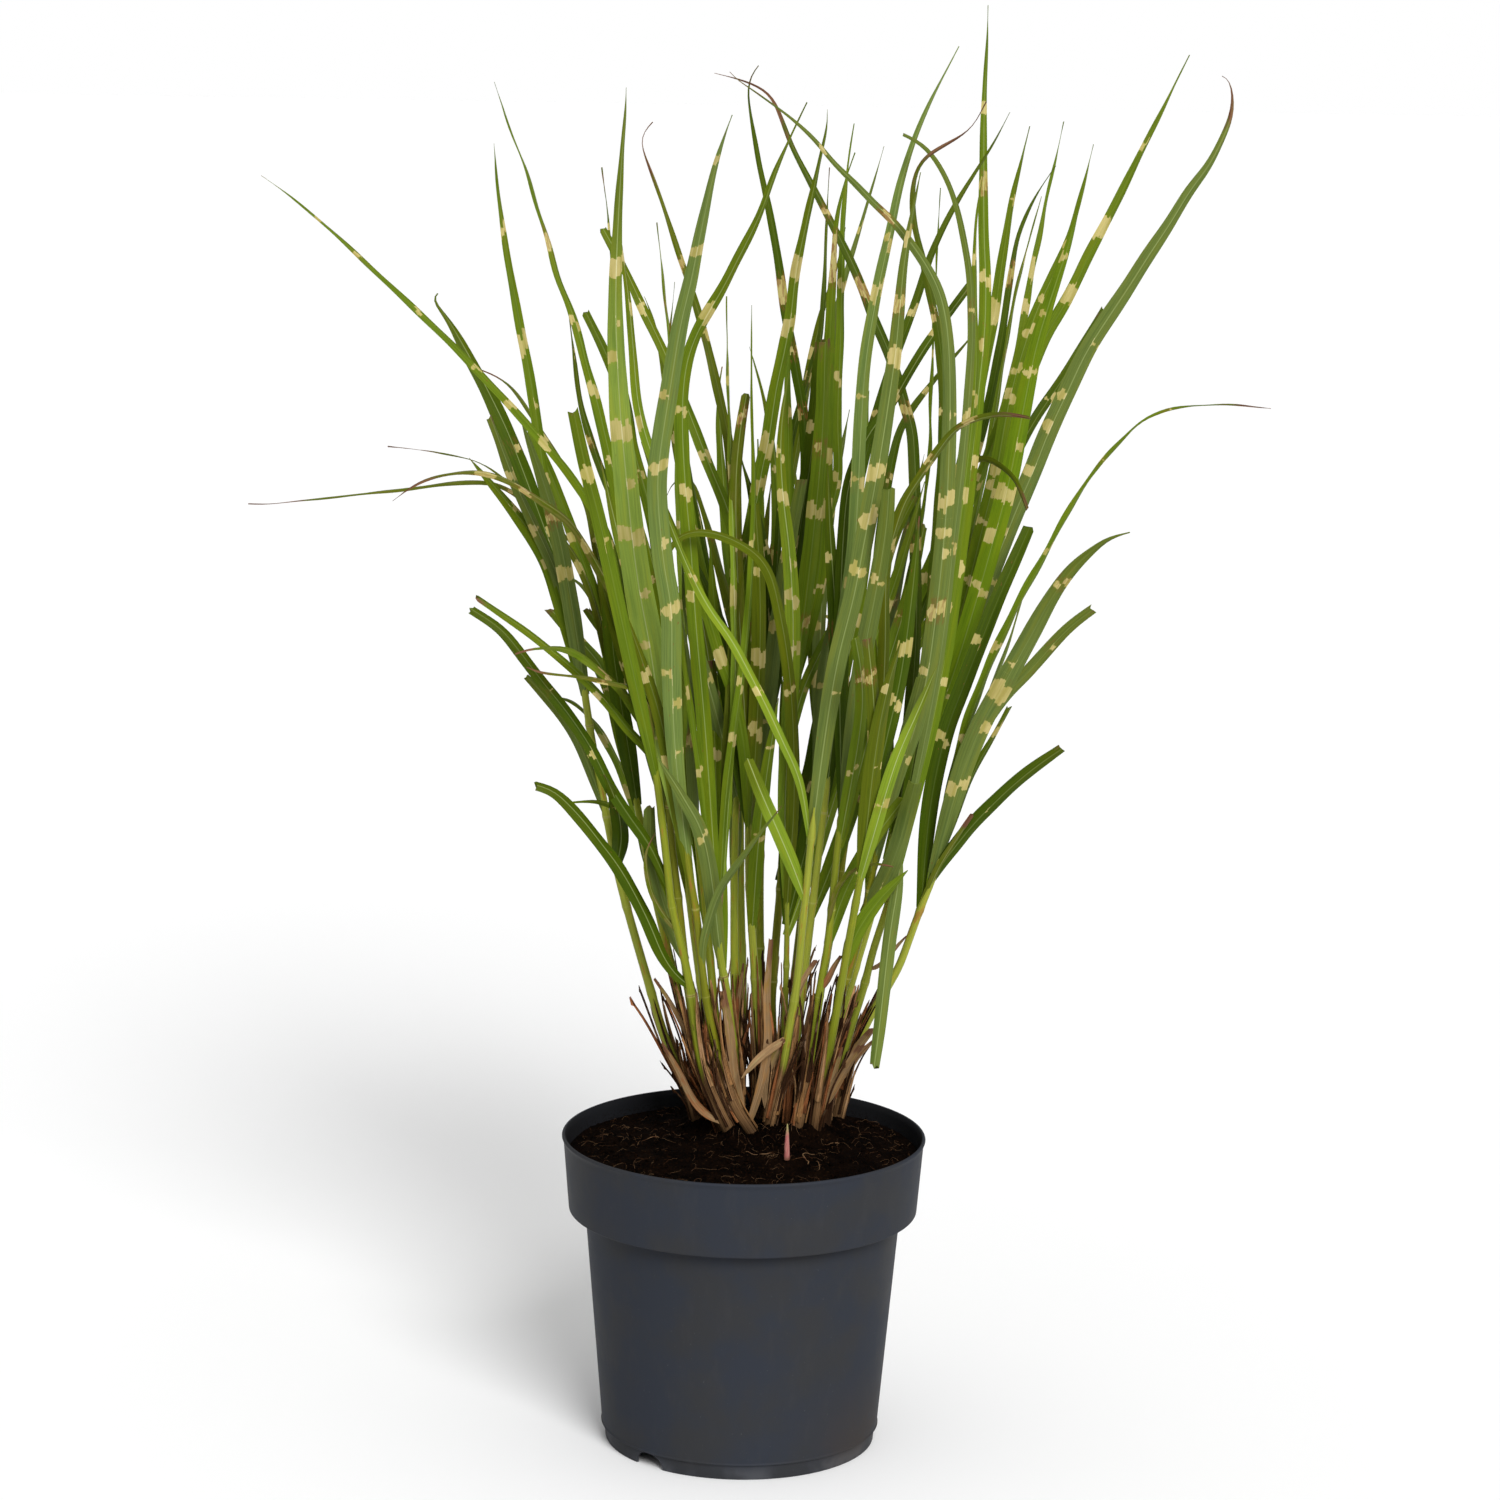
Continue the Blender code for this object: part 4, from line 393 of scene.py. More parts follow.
# Tries to find room for a leaf: their number, and their steps in depth and bulge, in millimetres
TRIES, DEPTH_STEP, BULGE_STEP = 16, 9, 7

# Dressed surfaces: sizes in metres (FLUTTER and BAND_SLANT in millimetres), shares, and numbers of parts.
# Blades first
STATION = 0.0042
SLIVER = 0.00003
COLUMNS = (-1.0, -0.5, 0.0, 0.5, 1.0)
TIP_BACK = 0.02
BLADE_EDGE = 0.00022
BLADE_MIDRIB = 0.0006
HAIR = 0.0005
FOLD, FOLD_LOST = 0.34, 0.2
WAVE_LENGTH, WAVE_SKEW = 0.045, 2.2
FLUTTER = (0.1, 0.5)
FULL_RIB = 0.0035
RIBBED, LIGHT_RIBBED = (0.1, 0.25, 0.5), 0.9
TIP_OLIVE, LIGHT_TIP_OLIVE = (0.1, 0.6), 0.8
OLIVE_FROM, OLIVE_OVER = 0.55, 0.35
TIP_WEAR = 0.22
MIDDLE_TIP_DRY = (0.1, 0.5)
RAGGED_CUT = (-0.0012, 0.0016)
FIRST_BAND, BAND_SPACING, LAST_BAND = (0.05, 0.09), (0.03, 0.08), 0.03
BAND_HALF = (0.002, 0.0055)
BAND_SLANT = (-2.6, 2.6)

# Culms, and the dead sheaths and strands round their feet
CULM_ROUND = 10
FIRST_NODE = (0.03, 0.05)
NODE_SPACING = 0.058
NODE_BULGE = 0.00045
NODE_WIDTH = 0.0022
CLOSED_FROM, CLOSED_OVER, CLOSED_BY = 0.93, 0.07, 0.75
DRY_FROM, DRY_OVER = 0.008, 0.075
HUSK_COLUMNS = 7
HUSK_THICKNESS = 0.0003
HUSK_LIFT = 0.0004
HUSK_CREASE, CREASES = 0.0004, 5
HUSK_TIP = 0.1
HUSK_RAGGED = (-0.004, 0.003)
HUSK_TAPERS = (0.4, 0.7, 1.1)
HUSK_FLARES, FLARE_CURVE = (0.0004, 0.0008, 0.002, 0.005, 0.011), 2.2
HUSKS_ON_CULM, LOW_HUSKS, SHORT_HUSKS = 13, 3, 2
LOW_START, HUSK_START = (0.0, 0.008), (0.008, 0.04)
SHORT_LENGTH, HUSK_LENGTH = (0.015, 0.04), (0.024, 0.078)
HUSK_SPREAD = (0.15, 0.5)
STRANDS_ON_CULM = 5
STRAND_START, STRAND_LENGTH, STRAND_FLARE = (0.005, 0.03), (0.02, 0.075), (0.003, 0.01)
STRAND_SPREAD = 0.08

# New shoot and pot
SPEAR_RINGS, SPEAR_ROUND, SPEAR_LAP = 24, 16, 0.1
POT_ROUND = 192
CORNER_STEPS = 4
NOTCH_STEPS = 24
POT_SHARP = 35
MERGED = 1e-6

# Peat. The noise of its relief is broad, fine and clods: the scale, level and octaves of each, then heights
RELIEF = ((55, 2.0, 4), (300, 7.0, 3), (150, 12.0, 2))
BROAD_RELIEF, FINE_RELIEF, CLOD_RELIEF = 0.0016, 0.0009, 0.0022
CLOD_FROM = 0.1
PEAT_LIFT = 0.0005
SOIL_ROUND = 220
SOIL_STEPS = 90
SOIL_FOOT = 0.85
SOIL_SHARP = 30
HEAP, HEAP_UNEVEN = 0.0085, 0.8
HEAP_REACH = 0.015
SOIL_SPREAD = 0.97
CRUMBS = 900
CRUMB_SIZE, CRUMB_MORE, CRUMB_UNEVEN = 0.0005, 0.0016, (0.6, 1.25)
CRUMB_LIFT = 0.2
FIBRES = 320
FIBRE_STEPS, FIBRE_ROUND = 7, 4
FIBRE_LENGTH = (0.004, 0.015)
FIBRE_RADIUS, ROOT_RADIUS = 0.00008, 0.00032
FIBRE_TAPER = 0.6
FIBRE_CURL, FIBRE_WANDER, FIBRE_LIFT = (-0.5, 0.5), (-0.35, 0.35), (0.0002, 0.0022)
FIBRE_MARGIN = 0.0015

# Material slots of a shoot, what a point reads where no band is near, and seeds
BLADE_SLOT, CULM_SLOT, HUSK_SLOT = 0, 1, 2
FAR = (100.0, 0, 0)
SHOOT_SEED, SOIL_SEED, NOISE_SEED = 900, 71, (0, 60)

# Blade tones, as linear colours
LIGHT = (0.175, 0.255, 0.018)
MID = (0.108, 0.165, 0.007)
DARK = (0.046, 0.08, 0.002)
PALE = (0.225, 0.315, 0.05)
GREY = (0.118, 0.16, 0.034)
OLIVE = (0.086, 0.112, 0.004)
SAGE = (0.14, 0.2, 0.045)
VIVID = (0.12, 0.195, 0.006)
DRY = (0.33, 0.2, 0.1)
HUSK = (0.28, 0.155, 0.066)
RUSSET = (0.25, 0.1, 0.04)
# Dark brown for dead sheaths and strands: partly their own colour, partly painted shade for the dark gaps
# between husks
DARK_HUSK_AND_SHADE = (0.045, 0.02, 0.009)
MIDDLE_TONES = (LIGHT, MID, MID, DARK, GREY, OLIVE)
HUSK_TONES = (HUSK, HUSK, DRY, RUSSET, DARK_HUSK_AND_SHADE, DARK_HUSK_AND_SHADE)
CULM_TONES = ((0.24, 0.275, 0.025), (0.28, 0.31, 0.035), (0.2, 0.23, 0.015), (0.17, 0.18, 0.01))

# Each leaf by (shoot, place in its list): tone, dryness of the blade and of the tip, and its cream bands.
# A band is (height read, half length in mm, side: 0 whole, -1 left, 1 right, and rust in it). Side and
# rust are 0 where they are left out.
LOOKS = {
    (1, 2): (RUSSET, 0.5, 0.6, ()),
    (1, 4): (DARK, 0.0, 0.25, ((563, 3, 1), (618, 2, 1, 0.3))),
    (1, 5): (MID, 0.0, 0.1, ((598, 4), (640, 3, 1), (677, 6), (747, 4, 0, 0.1))),
    (2, 1): (DARK, 0.0, 0.3, ()),
    (2, 2): (OLIVE, 0.3, 1.0, ()),
    (2, 4): (DARK, 0.0, 0.2, ((432, 2, -1), (470, 2, 1, 0.2))),
    (2, 5): (MID, 0.1, 0.9, ((478, 4, 0, 0.6),)),
    (2, 6): (OLIVE, 0.2, 0.9, ((476, 4, 0, 0.7),)),
    (2, 7): (MID, 0.0, 0.35, ((560, 3, 0, 0.1), (618, 5), (640, 4, 0, 0.1), (663, 4), (696, 4),
        (730, 3, 0, 0.2), (752, 3, 0, 0.2))),
    (2, 8): (OLIVE, 0.2, 0.95, ((556, 5, 0, 0.3), (590, 5, 0, 0.5), (601, 6, 0, 0.4))),
    (2, 9): (MID, 0.0, 0.2, ((560, 4, 1), (602, 5))),
    (3, 1): (GREY, 0.0, 0.6, ()),
    (3, 2): (MID, 0.0, 0.4, ((428, 3, 0, 0.2), (466, 3, -1))),
    (3, 3): (PALE, 0.0, 0.05, ((440, 2, -1), (500, 3, -1), (530, 3, 1), (564, 6), (596, 3, 1), (628, 7),
        (670, 4, -1), (692, 2, 1), (725, 7))),
    (3, 4): (SAGE, 0.0, 0.3, ((400, 2, 1), (432, 2, 1), (462, 3, 1), (480, 2, -1), (519, 6), (560, 3, 1),
        (605, 6), (650, 3, -1, 0.1), (735, 4), (790, 3))),
    (3, 5): (MID, 0.0, 0.15, ((520, 3, 1), (560, 3), (610, 3, -1), (649, 6), (690, 4, 0, 0.1),
        (738, 7, 0, 0.5))),
    (4, 1): (MID, 0.0, 0.3, ((420, 3), (470, 3, 0, 0.2))),
    (4, 2): (MID, 0.0, 0.3, ((440, 4), (475, 4), (560, 3))),
    (4, 3): (OLIVE, 0.05, 0.7, ((540, 3), (600, 3, 0, 0.3), (685, 4, 0, 0.4), (727, 4, 0, 0.4))),
    (4, 4): (LIGHT, 0.0, 0.1, ((528, 8, 0, 0.1), (605, 5), (660, 4))),
    (4, 5): (MID, 0.0, 0.15, ((530, 4), (590, 4, 0, 0.1), (640, 3), (697, 6))),
    (4, 6): (DRY, 0.8, 1.0, ()),
    (5, 1): (MID, 0.0, 0.2, ((489, 7), (553, 5, 0, 0.1))),
    (5, 2): (OLIVE, 0.1, 0.3, ((480, 3), (560, 4, 0, 0.2), (638, 5, 0, 0.9))),
    (5, 3): (MID, 0.0, 0.1, ((500, 3, -1), (555, 3, 0, 0.2), (594, 6), (620, 7), (693, 6),
        (725, 8, 0, 0.1))),
    (5, 4): (MID, 0.0, 0.2, ((560, 3), (612, 4), (660, 4, 0, 0.2), (700, 4))),
    (6, 1): (DARK, 0.0, 0.4, ((600, 3, 0, 0.7), (640, 3, 0, 0.8), (675, 4, 0, 0.8), (710, 9, 0, 0.7))),
    (6, 2): (DARK, 0.0, 0.5, ((580, 3, 0, 0.2), (660, 3, 0, 0.3))),
    (7, 1): (MID, 0.0, 0.15, ((532, 4), (579, 7), (612, 6, 1, 0.1), (672, 5, -1, 0.2),
        (732, 16, 0, 0.8))),
    (7, 2): (MID, 0.0, 0.2, ((600, 4, 0, 0.1), (660, 4, 0, 0.2), (715, 4, 0, 0.1))),
    (7, 4): (LIGHT, 0.0, 0.2, ((470, 3), (515, 4))),
    (8, 1): (LIGHT, 0.0, 0.1, ((440, 2, 1), (493, 4), (525, 5), (548, 3, 1), (590, 5), (615, 4))),
    (8, 2): (OLIVE, 0.0, 0.6, ((470, 3, 0, 0.3),)),
    (9, 1): (LIGHT, 0.0, 0.2, ()),
    (9, 2): (LIGHT, 0.0, 0.3, ((470, 2), (540, 3, 0, 0.2))),
    (9, 3): (SAGE, 0.0, 0.1, ((470, 3, 1), (540, 4), (600, 4, 0, 0.1), (650, 3), (712, 5),
        (742, 4, 0, 0.1))),
    (9, 4): (GREY, 0.0, 0.1, ((470, 2, 1), (545, 4), (578, 6), (606, 6), (675, 6, 0, 0.1),
        (706, 6, 0, 0.5), (745, 5, 0, 0.1))),
    (9, 5): (DRY, 0.9, 1.0, ()),
    (9, 8): (DRY, 1.0, 0.3, ()),
    (10, 1): (RUSSET, 0.9, 1.0, ()),
    (10, 2): (OLIVE, 0.3, 1.0, ()),
    (10, 3): (GREY, 0.0, 0.2, ((480, 2, 1), (540, 3, 0, 0.1))),
    (10, 4): (DARK, 0.0, 0.2, ((575, 3, 0, 0.1), (640, 3, 0, 0.2), (700, 4))),
    (10, 5): (DARK, 0.0, 0.3, ((600, 3, 1), (650, 3, 0, 0.2), (690, 3, 0, 0.1))),
    (11, 1): (GREY, 0.0, 0.2, ((352, 2, 1),)),
    (11, 2): (DARK, 0.0, 0.3, ((400, 4, 0, 0.2), (430, 5, 0, 0.1), (470, 6, 0, 0.9))),
    (11, 3): (GREY, 0.0, 0.2, ((430, 2, 1),)),
    (11, 4): (GREY, 0.0, 0.5, ((430, 2, 1), (487, 5, -1), (523, 6, 0, 0.5), (555, 4, 1), (568, 4),
        (588, 6), (640, 2, 1), (758, 5, 0, 0.8), (795, 5, 0, 0.1))),
    (11, 5): (OLIVE, 0.0, 0.55, ((560, 4, 0, 0.2), (610, 4, 0, 0.5), (636, 5, 0, 0.5))),
    (11, 6): (MID, 0.0, 0.3, ((500, 3), (560, 4, 0, 0.3))),
    (11, 7): (DRY, 0.9, 1.0, ()),
    (12, 1): (GREY, 0.0, 0.3, ()),
    (12, 2): (MID, 0.0, 0.1, ((480, 3), (545, 5), (610, 4, 0, 0.2), (680, 5, -1, 0.2), (720, 4),
        (775, 5, 0, 0.6), (822, 5))),
    (12, 3): (MID, 0.0, 0.1, ((520, 4), (590, 5), (650, 4, 0, 0.1), (735, 5))),
    (12, 4): (GREY, 0.0, 0.15, ((560, 4, 0, 0.2), (640, 4, 0, 0.1), (700, 4, 0, 0.3))),
    (12, 5): (DARK, 0.05, 0.9, ((540, 3, 0, 0.3), (640, 3, 0, 0.4), (700, 3, 0, 0.5))),
    (12, 6): (DARK, 0.05, 0.9, ((560, 3, 0, 0.4), (640, 4, 0, 0.5), (713, 7, 0, 0.8), (760, 3, 0, 0.6))),
    (12, 7): (DRY, 0.8, 1.0, ()),
    (13, 1): (DARK, 0.0, 0.3, ((400, 2, 1),)),
    (13, 2): (GREY, 0.0, 0.3, ((412, 5), (450, 4, 1, 0.1), (472, 7, 0, 0.1), (490, 3, -1),
        (540, 3, 0, 0.4))),
    (13, 3): (GREY, 0.0, 0.3, ((460, 3), (500, 2, 1, 0.3))),
    (13, 4): (MID, 0.0, 0.7, ((440, 3), (500, 3, 0, 0.1), (560, 4), (612, 3, 0, 0.2), (645, 3, 0, 0.4))),
    (13, 6): (DARK, 0.0, 0.2, ((440, 3), (500, 3, -1))),
    (13, 7): (OLIVE, 0.1, 1.0, ()),
    (13, 8): (DARK, 0.0, 0.15, ((449, 5, 0, 0.3),)),
    (14, 1): (MID, 0.0, 0.2, ((560, 3), (600, 4, 0, 0.3), (650, 3, 0, 0.1))),
    (15, 1): (MID, 0.0, 0.1, ((540, 4), (600, 5), (650, 4, 0, 0.1), (701, 10), (770, 5, 0, 0.1))),
    (15, 2): (DARK, 0.0, 0.2, ((560, 3), (620, 4), (722, 6, 0, 0.7))),
    (15, 3): (MID, 0.0, 0.1, ((600, 4), (660, 4), (703, 4), (728, 8))),
    (15, 4): (DARK, 0.0, 0.3, ((600, 3, 0, 0.3), (655, 4, 0, 0.2))),
    (17, 1): (VIVID, 0.0, 0.1, ((470, 2, 1), (535, 4), (570, 5, -1), (592, 6), (625, 3, 1), (667, 4),
        (700, 3, -1), (735, 4))),
    (17, 2): (MID, 0.0, 0.1, ((540, 3), (575, 4), (593, 4), (607, 4), (650, 4), (665, 4), (690, 4),
        (708, 4), (742, 5))),
    (17, 3): (MID, 0.0, 0.1, ((580, 3), (640, 4), (714, 7), (753, 9), (800, 3, 0, 0.1))),
    (17, 4): (GREY, 0.0, 0.7, ((540, 4), (570, 4, -1), (605, 4, -1), (632, 5, -1, 0.1), (651, 4, -1),
        (684, 2, 1))),
    (17, 5): (DARK, 0.0, 0.3, ((560, 3), (610, 3, 1, 0.1), (650, 3))),
    (17, 6): (OLIVE, 0.0, 0.5, ((570, 3, 0, 0.4), (612, 4, 0, 0.5))),
    (18, 1): (OLIVE, 0.1, 0.9, ((545, 4), (583, 6, 0, 0.1), (590, 3, 0, 0.6))),
    (18, 2): (OLIVE, 0.05, 0.8, ((560, 3, 0, 0.1), (620, 3, 0, 0.4))),
    (18, 3): (OLIVE, 0.1, 0.9, ((590, 3, 0, 0.4),)),
}

# Leaves that are dead all over, by their tone
DEAD = (
    (HUSK, ((2, 10), (3, 6), (3, 7), (9, 6), (11, 9), (12, 8), (19, 3), (19, 4), (20, 3), (22, 4))),
    (RUSSET, ((2, 11), (11, 8), (13, 9), (21, 3), (24, 3))),
    (DRY, ((9, 7), (22, 3))),
)
LOOKS.update({leaf: (tone, 1.0, 1.0, ()) for tone, leaves in DEAD for leaf in leaves})

# Shares by which a tone is lightened, darkened, yellowed or deepened
SHADE_VEIN = (0.8, 0.82, 0.8)
LIT_VEIN = (1.16, 1.14, 1.1)
YELLOWED = (1.3, 1.1, 0.7)
DEEPENED = (0.6, 0.7, 0.7)

# Linear colours of the markings
CREAM = (0.55, 0.45, 0.18)
CREAM_SHADE = (0.39, 0.325, 0.09)
CREAM_VEIN = (0.36, 0.35, 0.07)
RUST = (0.19, 0.07, 0.022)
MIDRIB_GREEN = (0.36, 0.42, 0.16)
MIDRIB_CREAM = (0.72, 0.68, 0.4)
DRY_SHADE = (0.17, 0.11, 0.05)
TIP_BROWN = (0.085, 0.036, 0.02)
TIP_TAN = (0.21, 0.105, 0.052)
NODE_PALE = (0.36, 0.36, 0.1)
FOOT_RED = (0.3, 0.11, 0.03)
FOOT_BROWN = (0.075, 0.036, 0.012)
HUSK_SHADE = (0.42, 0.37, 0.3)
HUSK_LIT = (1.6, 1.48, 1.3)
HUSK_DARK = (0.022, 0.009, 0.003)
HUSK_TAN = (0.42, 0.26, 0.15)
# Painted shade: the dark towards which culms and dead sheaths are darkened near their feet
FOOT_PAINTED_SHADE = (0.03, 0.014, 0.006)
PEAT_BLACK = (0.0012, 0.0007, 0.0005)
PEAT_BROWN = (0.0045, 0.0022, 0.0012)
PEAT_RED = (0.018, 0.007, 0.0025)
PEAT_TAN = (0.06, 0.028, 0.012)
ROOT_RED = (0.075, 0.028, 0.009)
ROOT_TAN = (0.2, 0.115, 0.055)
YOUNG_PINK = (0.42, 0.09, 0.1)
YOUNG_PALE = (0.52, 0.26, 0.2)
YOUNG_GREEN = (0.3, 0.32, 0.1)
POT_SHADE = (0.031, 0.032, 0.035)
POT_BLUE = (0.027, 0.031, 0.041)
POT_RUBBED = (0.039, 0.04, 0.044)
# Painted shade for the pot's inward-facing wall
POT_INSIDE_SHADE = (0.011, 0.011, 0.012)
POT_DUST = (0.12, 0.12, 0.125)
POT_STAIN = (0.05, 0.038, 0.028)
FLOOR_LOW = (0.93, 0.93, 0.93)
FLOOR_HIGH = (0.96, 0.96, 0.96)

# Shapes of the markings, in millimetres on the blade
FINGER, FINGER_WIDTH, FINGER_MIDDLE = 12.0, 2.1, 0.42
FRAY, EDGE_FRAY = 1.5, 2.6
BAND_REACH = (7.0, 5.5)
BAND_SOFTNESS = 0.35
HALO = 3.0
MIDRIB_REACH = (0.42, 0.16)

# Studio: even white light all round, a soft lamp from the front right and a weaker, wider one from above.
# Each lamp: name, where its light comes from, strength, and the angle it spreads over, in degrees.
BACKDROP = 1.0
WORLD_LIGHT = 0.3
LAMPS = (
    ("front lamp", (0.7, -2.0, 1.45), 2.7, 26.0),
    ("top lamp", (0.1, -0.4, 3.0), 1.0, 90.0),
)
FLOOR_HALF = 30.0

# Camera: lens and sensor in millimetres, how far it sees and how far it stands to the side in metres, how
# far it looks down and how far it is rolled in radians
LENS, SENSOR = 99.5, 36.0
CLIP_END = 200.0
CAMERA_SIDE = 0.0002
LOOK_DOWN, ROLL = 0.18183, 0.01546

# Roots that show on the peat: place (x, y) and length, in millimetres
ROOTS = (
    (4, -22, 14), (10, -26, 11), (40, -36, 16), (44, -40, 12), (38, -44, 13), (-52, 12, 12), (60, 2, 10),
)


# Growth: the shapes of the solids, repeated so that each piece follows its own
def soil_height(x, y):
    share = min(1.0, math.hypot(x, y) / RIM_RADIUS)
    ripple = math.sin(61 * x + 1.3) * math.cos(53 * y + 0.4) + 0.6 * math.sin(118 * (x + y))
    return SOIL_EDGE + SOIL_MOUND * (1 - share * share) + SOIL_BUMP * ripple * (1 - share)


def soil_radius(height):
    """The pot's inner radius at a height, less the gap."""
    share = (height - STEP_INSIDE[1]) / (RIM_INSIDE[1] - STEP_INSIDE[1])
    return STEP_INSIDE[0] + share * (RIM_INSIDE[0] - STEP_INSIDE[0]) - 2 * GAP


def place(x, z, depth):
    scale = (VIEW_DISTANCE + depth) / VIEW_DISTANCE
    return Vector((x * scale, depth, VIEW_HEIGHT + (z - VIEW_HEIGHT) * scale))


def along(path):
    """The distance of each point from the path's start."""
    reach = [0.0]
    for start, end in zip(path, path[1:]):
        reach.append(reach[-1] + (end - start).length)
    return reach


def smooth_outline(outline):
    """Points along a smooth curve through the outline's own, with the share of its length at each."""
    points = [Vector((x * MM, z * MM)) for x, z in outline]
    points = [2 * points[0] - points[1], *points, 2 * points[-1] - points[-2]]
    curve = []
    for before, start, end, after in zip(points, points[1:], points[2:], points[3:]):
        for step in range(SMOOTH_STEPS):
            t = step / SMOOTH_STEPS
            curve.append(
                0.5 * (2 * start + t * (end - before) + t * t * (2 * before - 5 * start + 4 * end - after)
                       + t ** 3 * (3 * start - before - 3 * end + after))
            )
    curve.append(points[-2])
    reach = along(curve)
    return curve, [length / reach[-1] for length in reach]


def thinned(points, tolerance):
    """Indices of the points that keep the path within a tolerance of itself."""
    kept, spans = {0, len(points) - 1}, [(0, len(points) - 1)]
    while spans:
        first, last = spans.pop()
        chord = points[last] - points[first]
        worst, furthest = 0.0, None
        for index in range(first + 1, last):
            offset = points[index] - points[first]
            distance = (offset - offset.project(chord)).length
            if distance > worst:
                worst, furthest = distance, index
        if worst > tolerance:
            kept.add(furthest)
            spans += [(first, furthest), (furthest, last)]
    return sorted(kept)


def culm_path(base, top_depth, outline):
    """The culm's axis in space, from just above the soil."""
    x, y = base[0] * MM, base[1] * MM
    foot = Vector((x, y, soil_height(x, y) + FOOT_LIFT))
    start = seen_from_viewpoint(foot) / MM
    curve, shares = smooth_outline(((start.x, start.y), *outline))
    return [place(p.x, p.y, y + (top_depth * MM - y) * share ** 1.15) for p, share in zip(curve, shares)]


def nearest_on_culm(culm, reading, inset):
    """The point of the culm's straight runs seen nearest to a reading, a little short of its top."""
    nodes = [culm[index] for index in thinned(culm, CULM_TOLERANCE)]
    spots = [start.lerp(end, step / 20) for start, end in zip(nodes, nodes[1:]) for step in range(21)]
    spots = [spot for spot in spots if (spot - nodes[-1]).length > inset]
    return min(spots, key=lambda spot: (seen_from_viewpoint(spot) - reading).length)


def leaf_path(culm, outline, inset, sweep, bulge):
    """The leaf's midrib in space: it leaves the culm where its outline starts and sweeps to a depth."""
    start = nearest_on_culm(culm, Vector((outline[0][0] * MM, outline[0][1] * MM)), inset)
    seen = seen_from_viewpoint(start) / MM
    curve, shares = smooth_outline(((seen.x, seen.y), *outline[1:]))
    return [
        place(p.x, p.y, start.y + sweep * (0.55 * t + 0.45 * t * t) + bulge * math.sin(math.pi * t))
        for p, t in zip(curve, shares)
    ], shares


def seen_from_viewpoint(point):
    scale = VIEW_DISTANCE / (VIEW_DISTANCE + point.y)
    return Vector((point.x * scale, VIEW_HEIGHT + (point.z - VIEW_HEIGHT) * scale))


def leaf_width(share, end):
    """Width as a share of the widest: narrow at the sheath, full over the middle, drawn out to a tip."""
    if share < 0.3:
        return 0.5 + 0.5 * math.sin(share / 0.3 * math.pi / 2)
    taper = SLIM_TAPER if end == SLIM else TAPER
    return end + (1 - end) * (1 - ((share - 0.3) / 0.7) ** taper)


def tangent_at(path, index):
    return (path[min(index + 1, len(path) - 1)] - path[max(index - 1, 0)]).normalized()


def culm_axes(path, index):
    """The culm's direction, and the two across it: sideways and to the front."""
    tangent = tangent_at(path, index)
    side = tangent.cross(Vector((0, 1, 0))).normalized()
    return tangent, side, tangent.cross(side)


def culm_reach(radius, share, distance):
    """The culm's radius at a share of its height, with the sheaths that thicken its foot."""
    sheath = SHEATH_THICKNESS * max(0.0, 1 - distance / SHEATH_LENGTH)
    return radius * (1 - 0.25 * share) + sheath


def across_leaf(path, index, turn):
    """Unit vectors across the blade and out of its upper face."""
    tangent = tangent_at(path, index)
    view = (path[index] - Vector((0, -VIEW_DISTANCE, VIEW_HEIGHT))).normalized()
    across = Matrix.Rotation(math.radians(turn), 3, tangent) @ tangent.cross(view).normalized()
    return across, across.cross(tangent)


def leaf_mesh(path, shares, width, turns, end, clearance=0.0):
    """A blade with a three-cornered section. With a clearance it is a shell around the blade."""
    points, faces = [], []
    stations = thinned(path, LEAF_TOLERANCE)
    for index in stations:
        share = shares[index]
        across, out = across_leaf(path, index, turns[0] + (turns[1] - turns[0]) * share)
        half = max(TIP_WIDTH, width * MM * leaf_width(share, end)) / 2 + clearance
        points += [
            path[index] - half * across + clearance * out,
            path[index] + half * across + clearance * out,
            path[index] - (MIDRIB_DEPTH + 1.5 * clearance) * out,
        ]
    for row in range(len(stations) - 1):
        for corner in range(3):
            a, b = 3 * row + corner, 3 * row + (corner + 1) % 3
            faces.append((a, b, b + 3, a + 3))
    last = 3 * (len(stations) - 1)
    faces += [(2, 1, 0), (last, last + 1, last + 2)]
    return points, faces


def culm_mesh(path, radius, clearance=0.0):
    points, faces = [], []
    stations = thinned(path, CULM_TOLERANCE)
    for index in stations:
        _, side, front = culm_axes(path, index)
        if index == 0:
            side, front = Vector((-1, 0, 0)), Vector((0, -1, 0))
        for corner in range(CULM_SIDES):
            angle = math.tau * corner / CULM_SIDES
            reach = culm_reach(radius, index / len(path), (path[index] - path[0]).length) + clearance
            points.append(path[index] + reach * (math.cos(angle) * side + math.sin(angle) * front))
    for row in range(len(stations) - 1):
        for corner in range(CULM_SIDES):
            a, b = CULM_SIDES * row + corner, CULM_SIDES * row + (corner + 1) % CULM_SIDES
            faces.append((a, b, b + CULM_SIDES, a + CULM_SIDES))
    last = CULM_SIDES * (len(stations) - 1)
    faces += [tuple(reversed(range(CULM_SIDES))), tuple(range(last, last + CULM_SIDES))]
    return points, faces


def tree_of(points, faces):
    return BVHTree.FromPolygons(points, faces)


def beyond(path, shares, length):
    """The part of a path further than a length from its start."""
    total = sum((b - a).length for a, b in zip(path, path[1:]))
    first = next((k for k, share in enumerate(shares) if share * total >= length), len(path) - 2)
    first = min(first, len(path) - 2)
    return path[first:], shares[first:]


def sweeps(wanted):
    """Depths to try, the wanted one first, each with a straight run before a bulged one."""
    tries = [(wanted, 0)]
    for step in range(1, TRIES + 1):
        for side in (1, -1):
            near, bulge = wanted + side * DEPTH_STEP * (step - 1), BULGE_STEP * step
            tries += [(wanted + side * DEPTH_STEP * step, 0), (near, bulge), (near, -bulge)]
    return tries


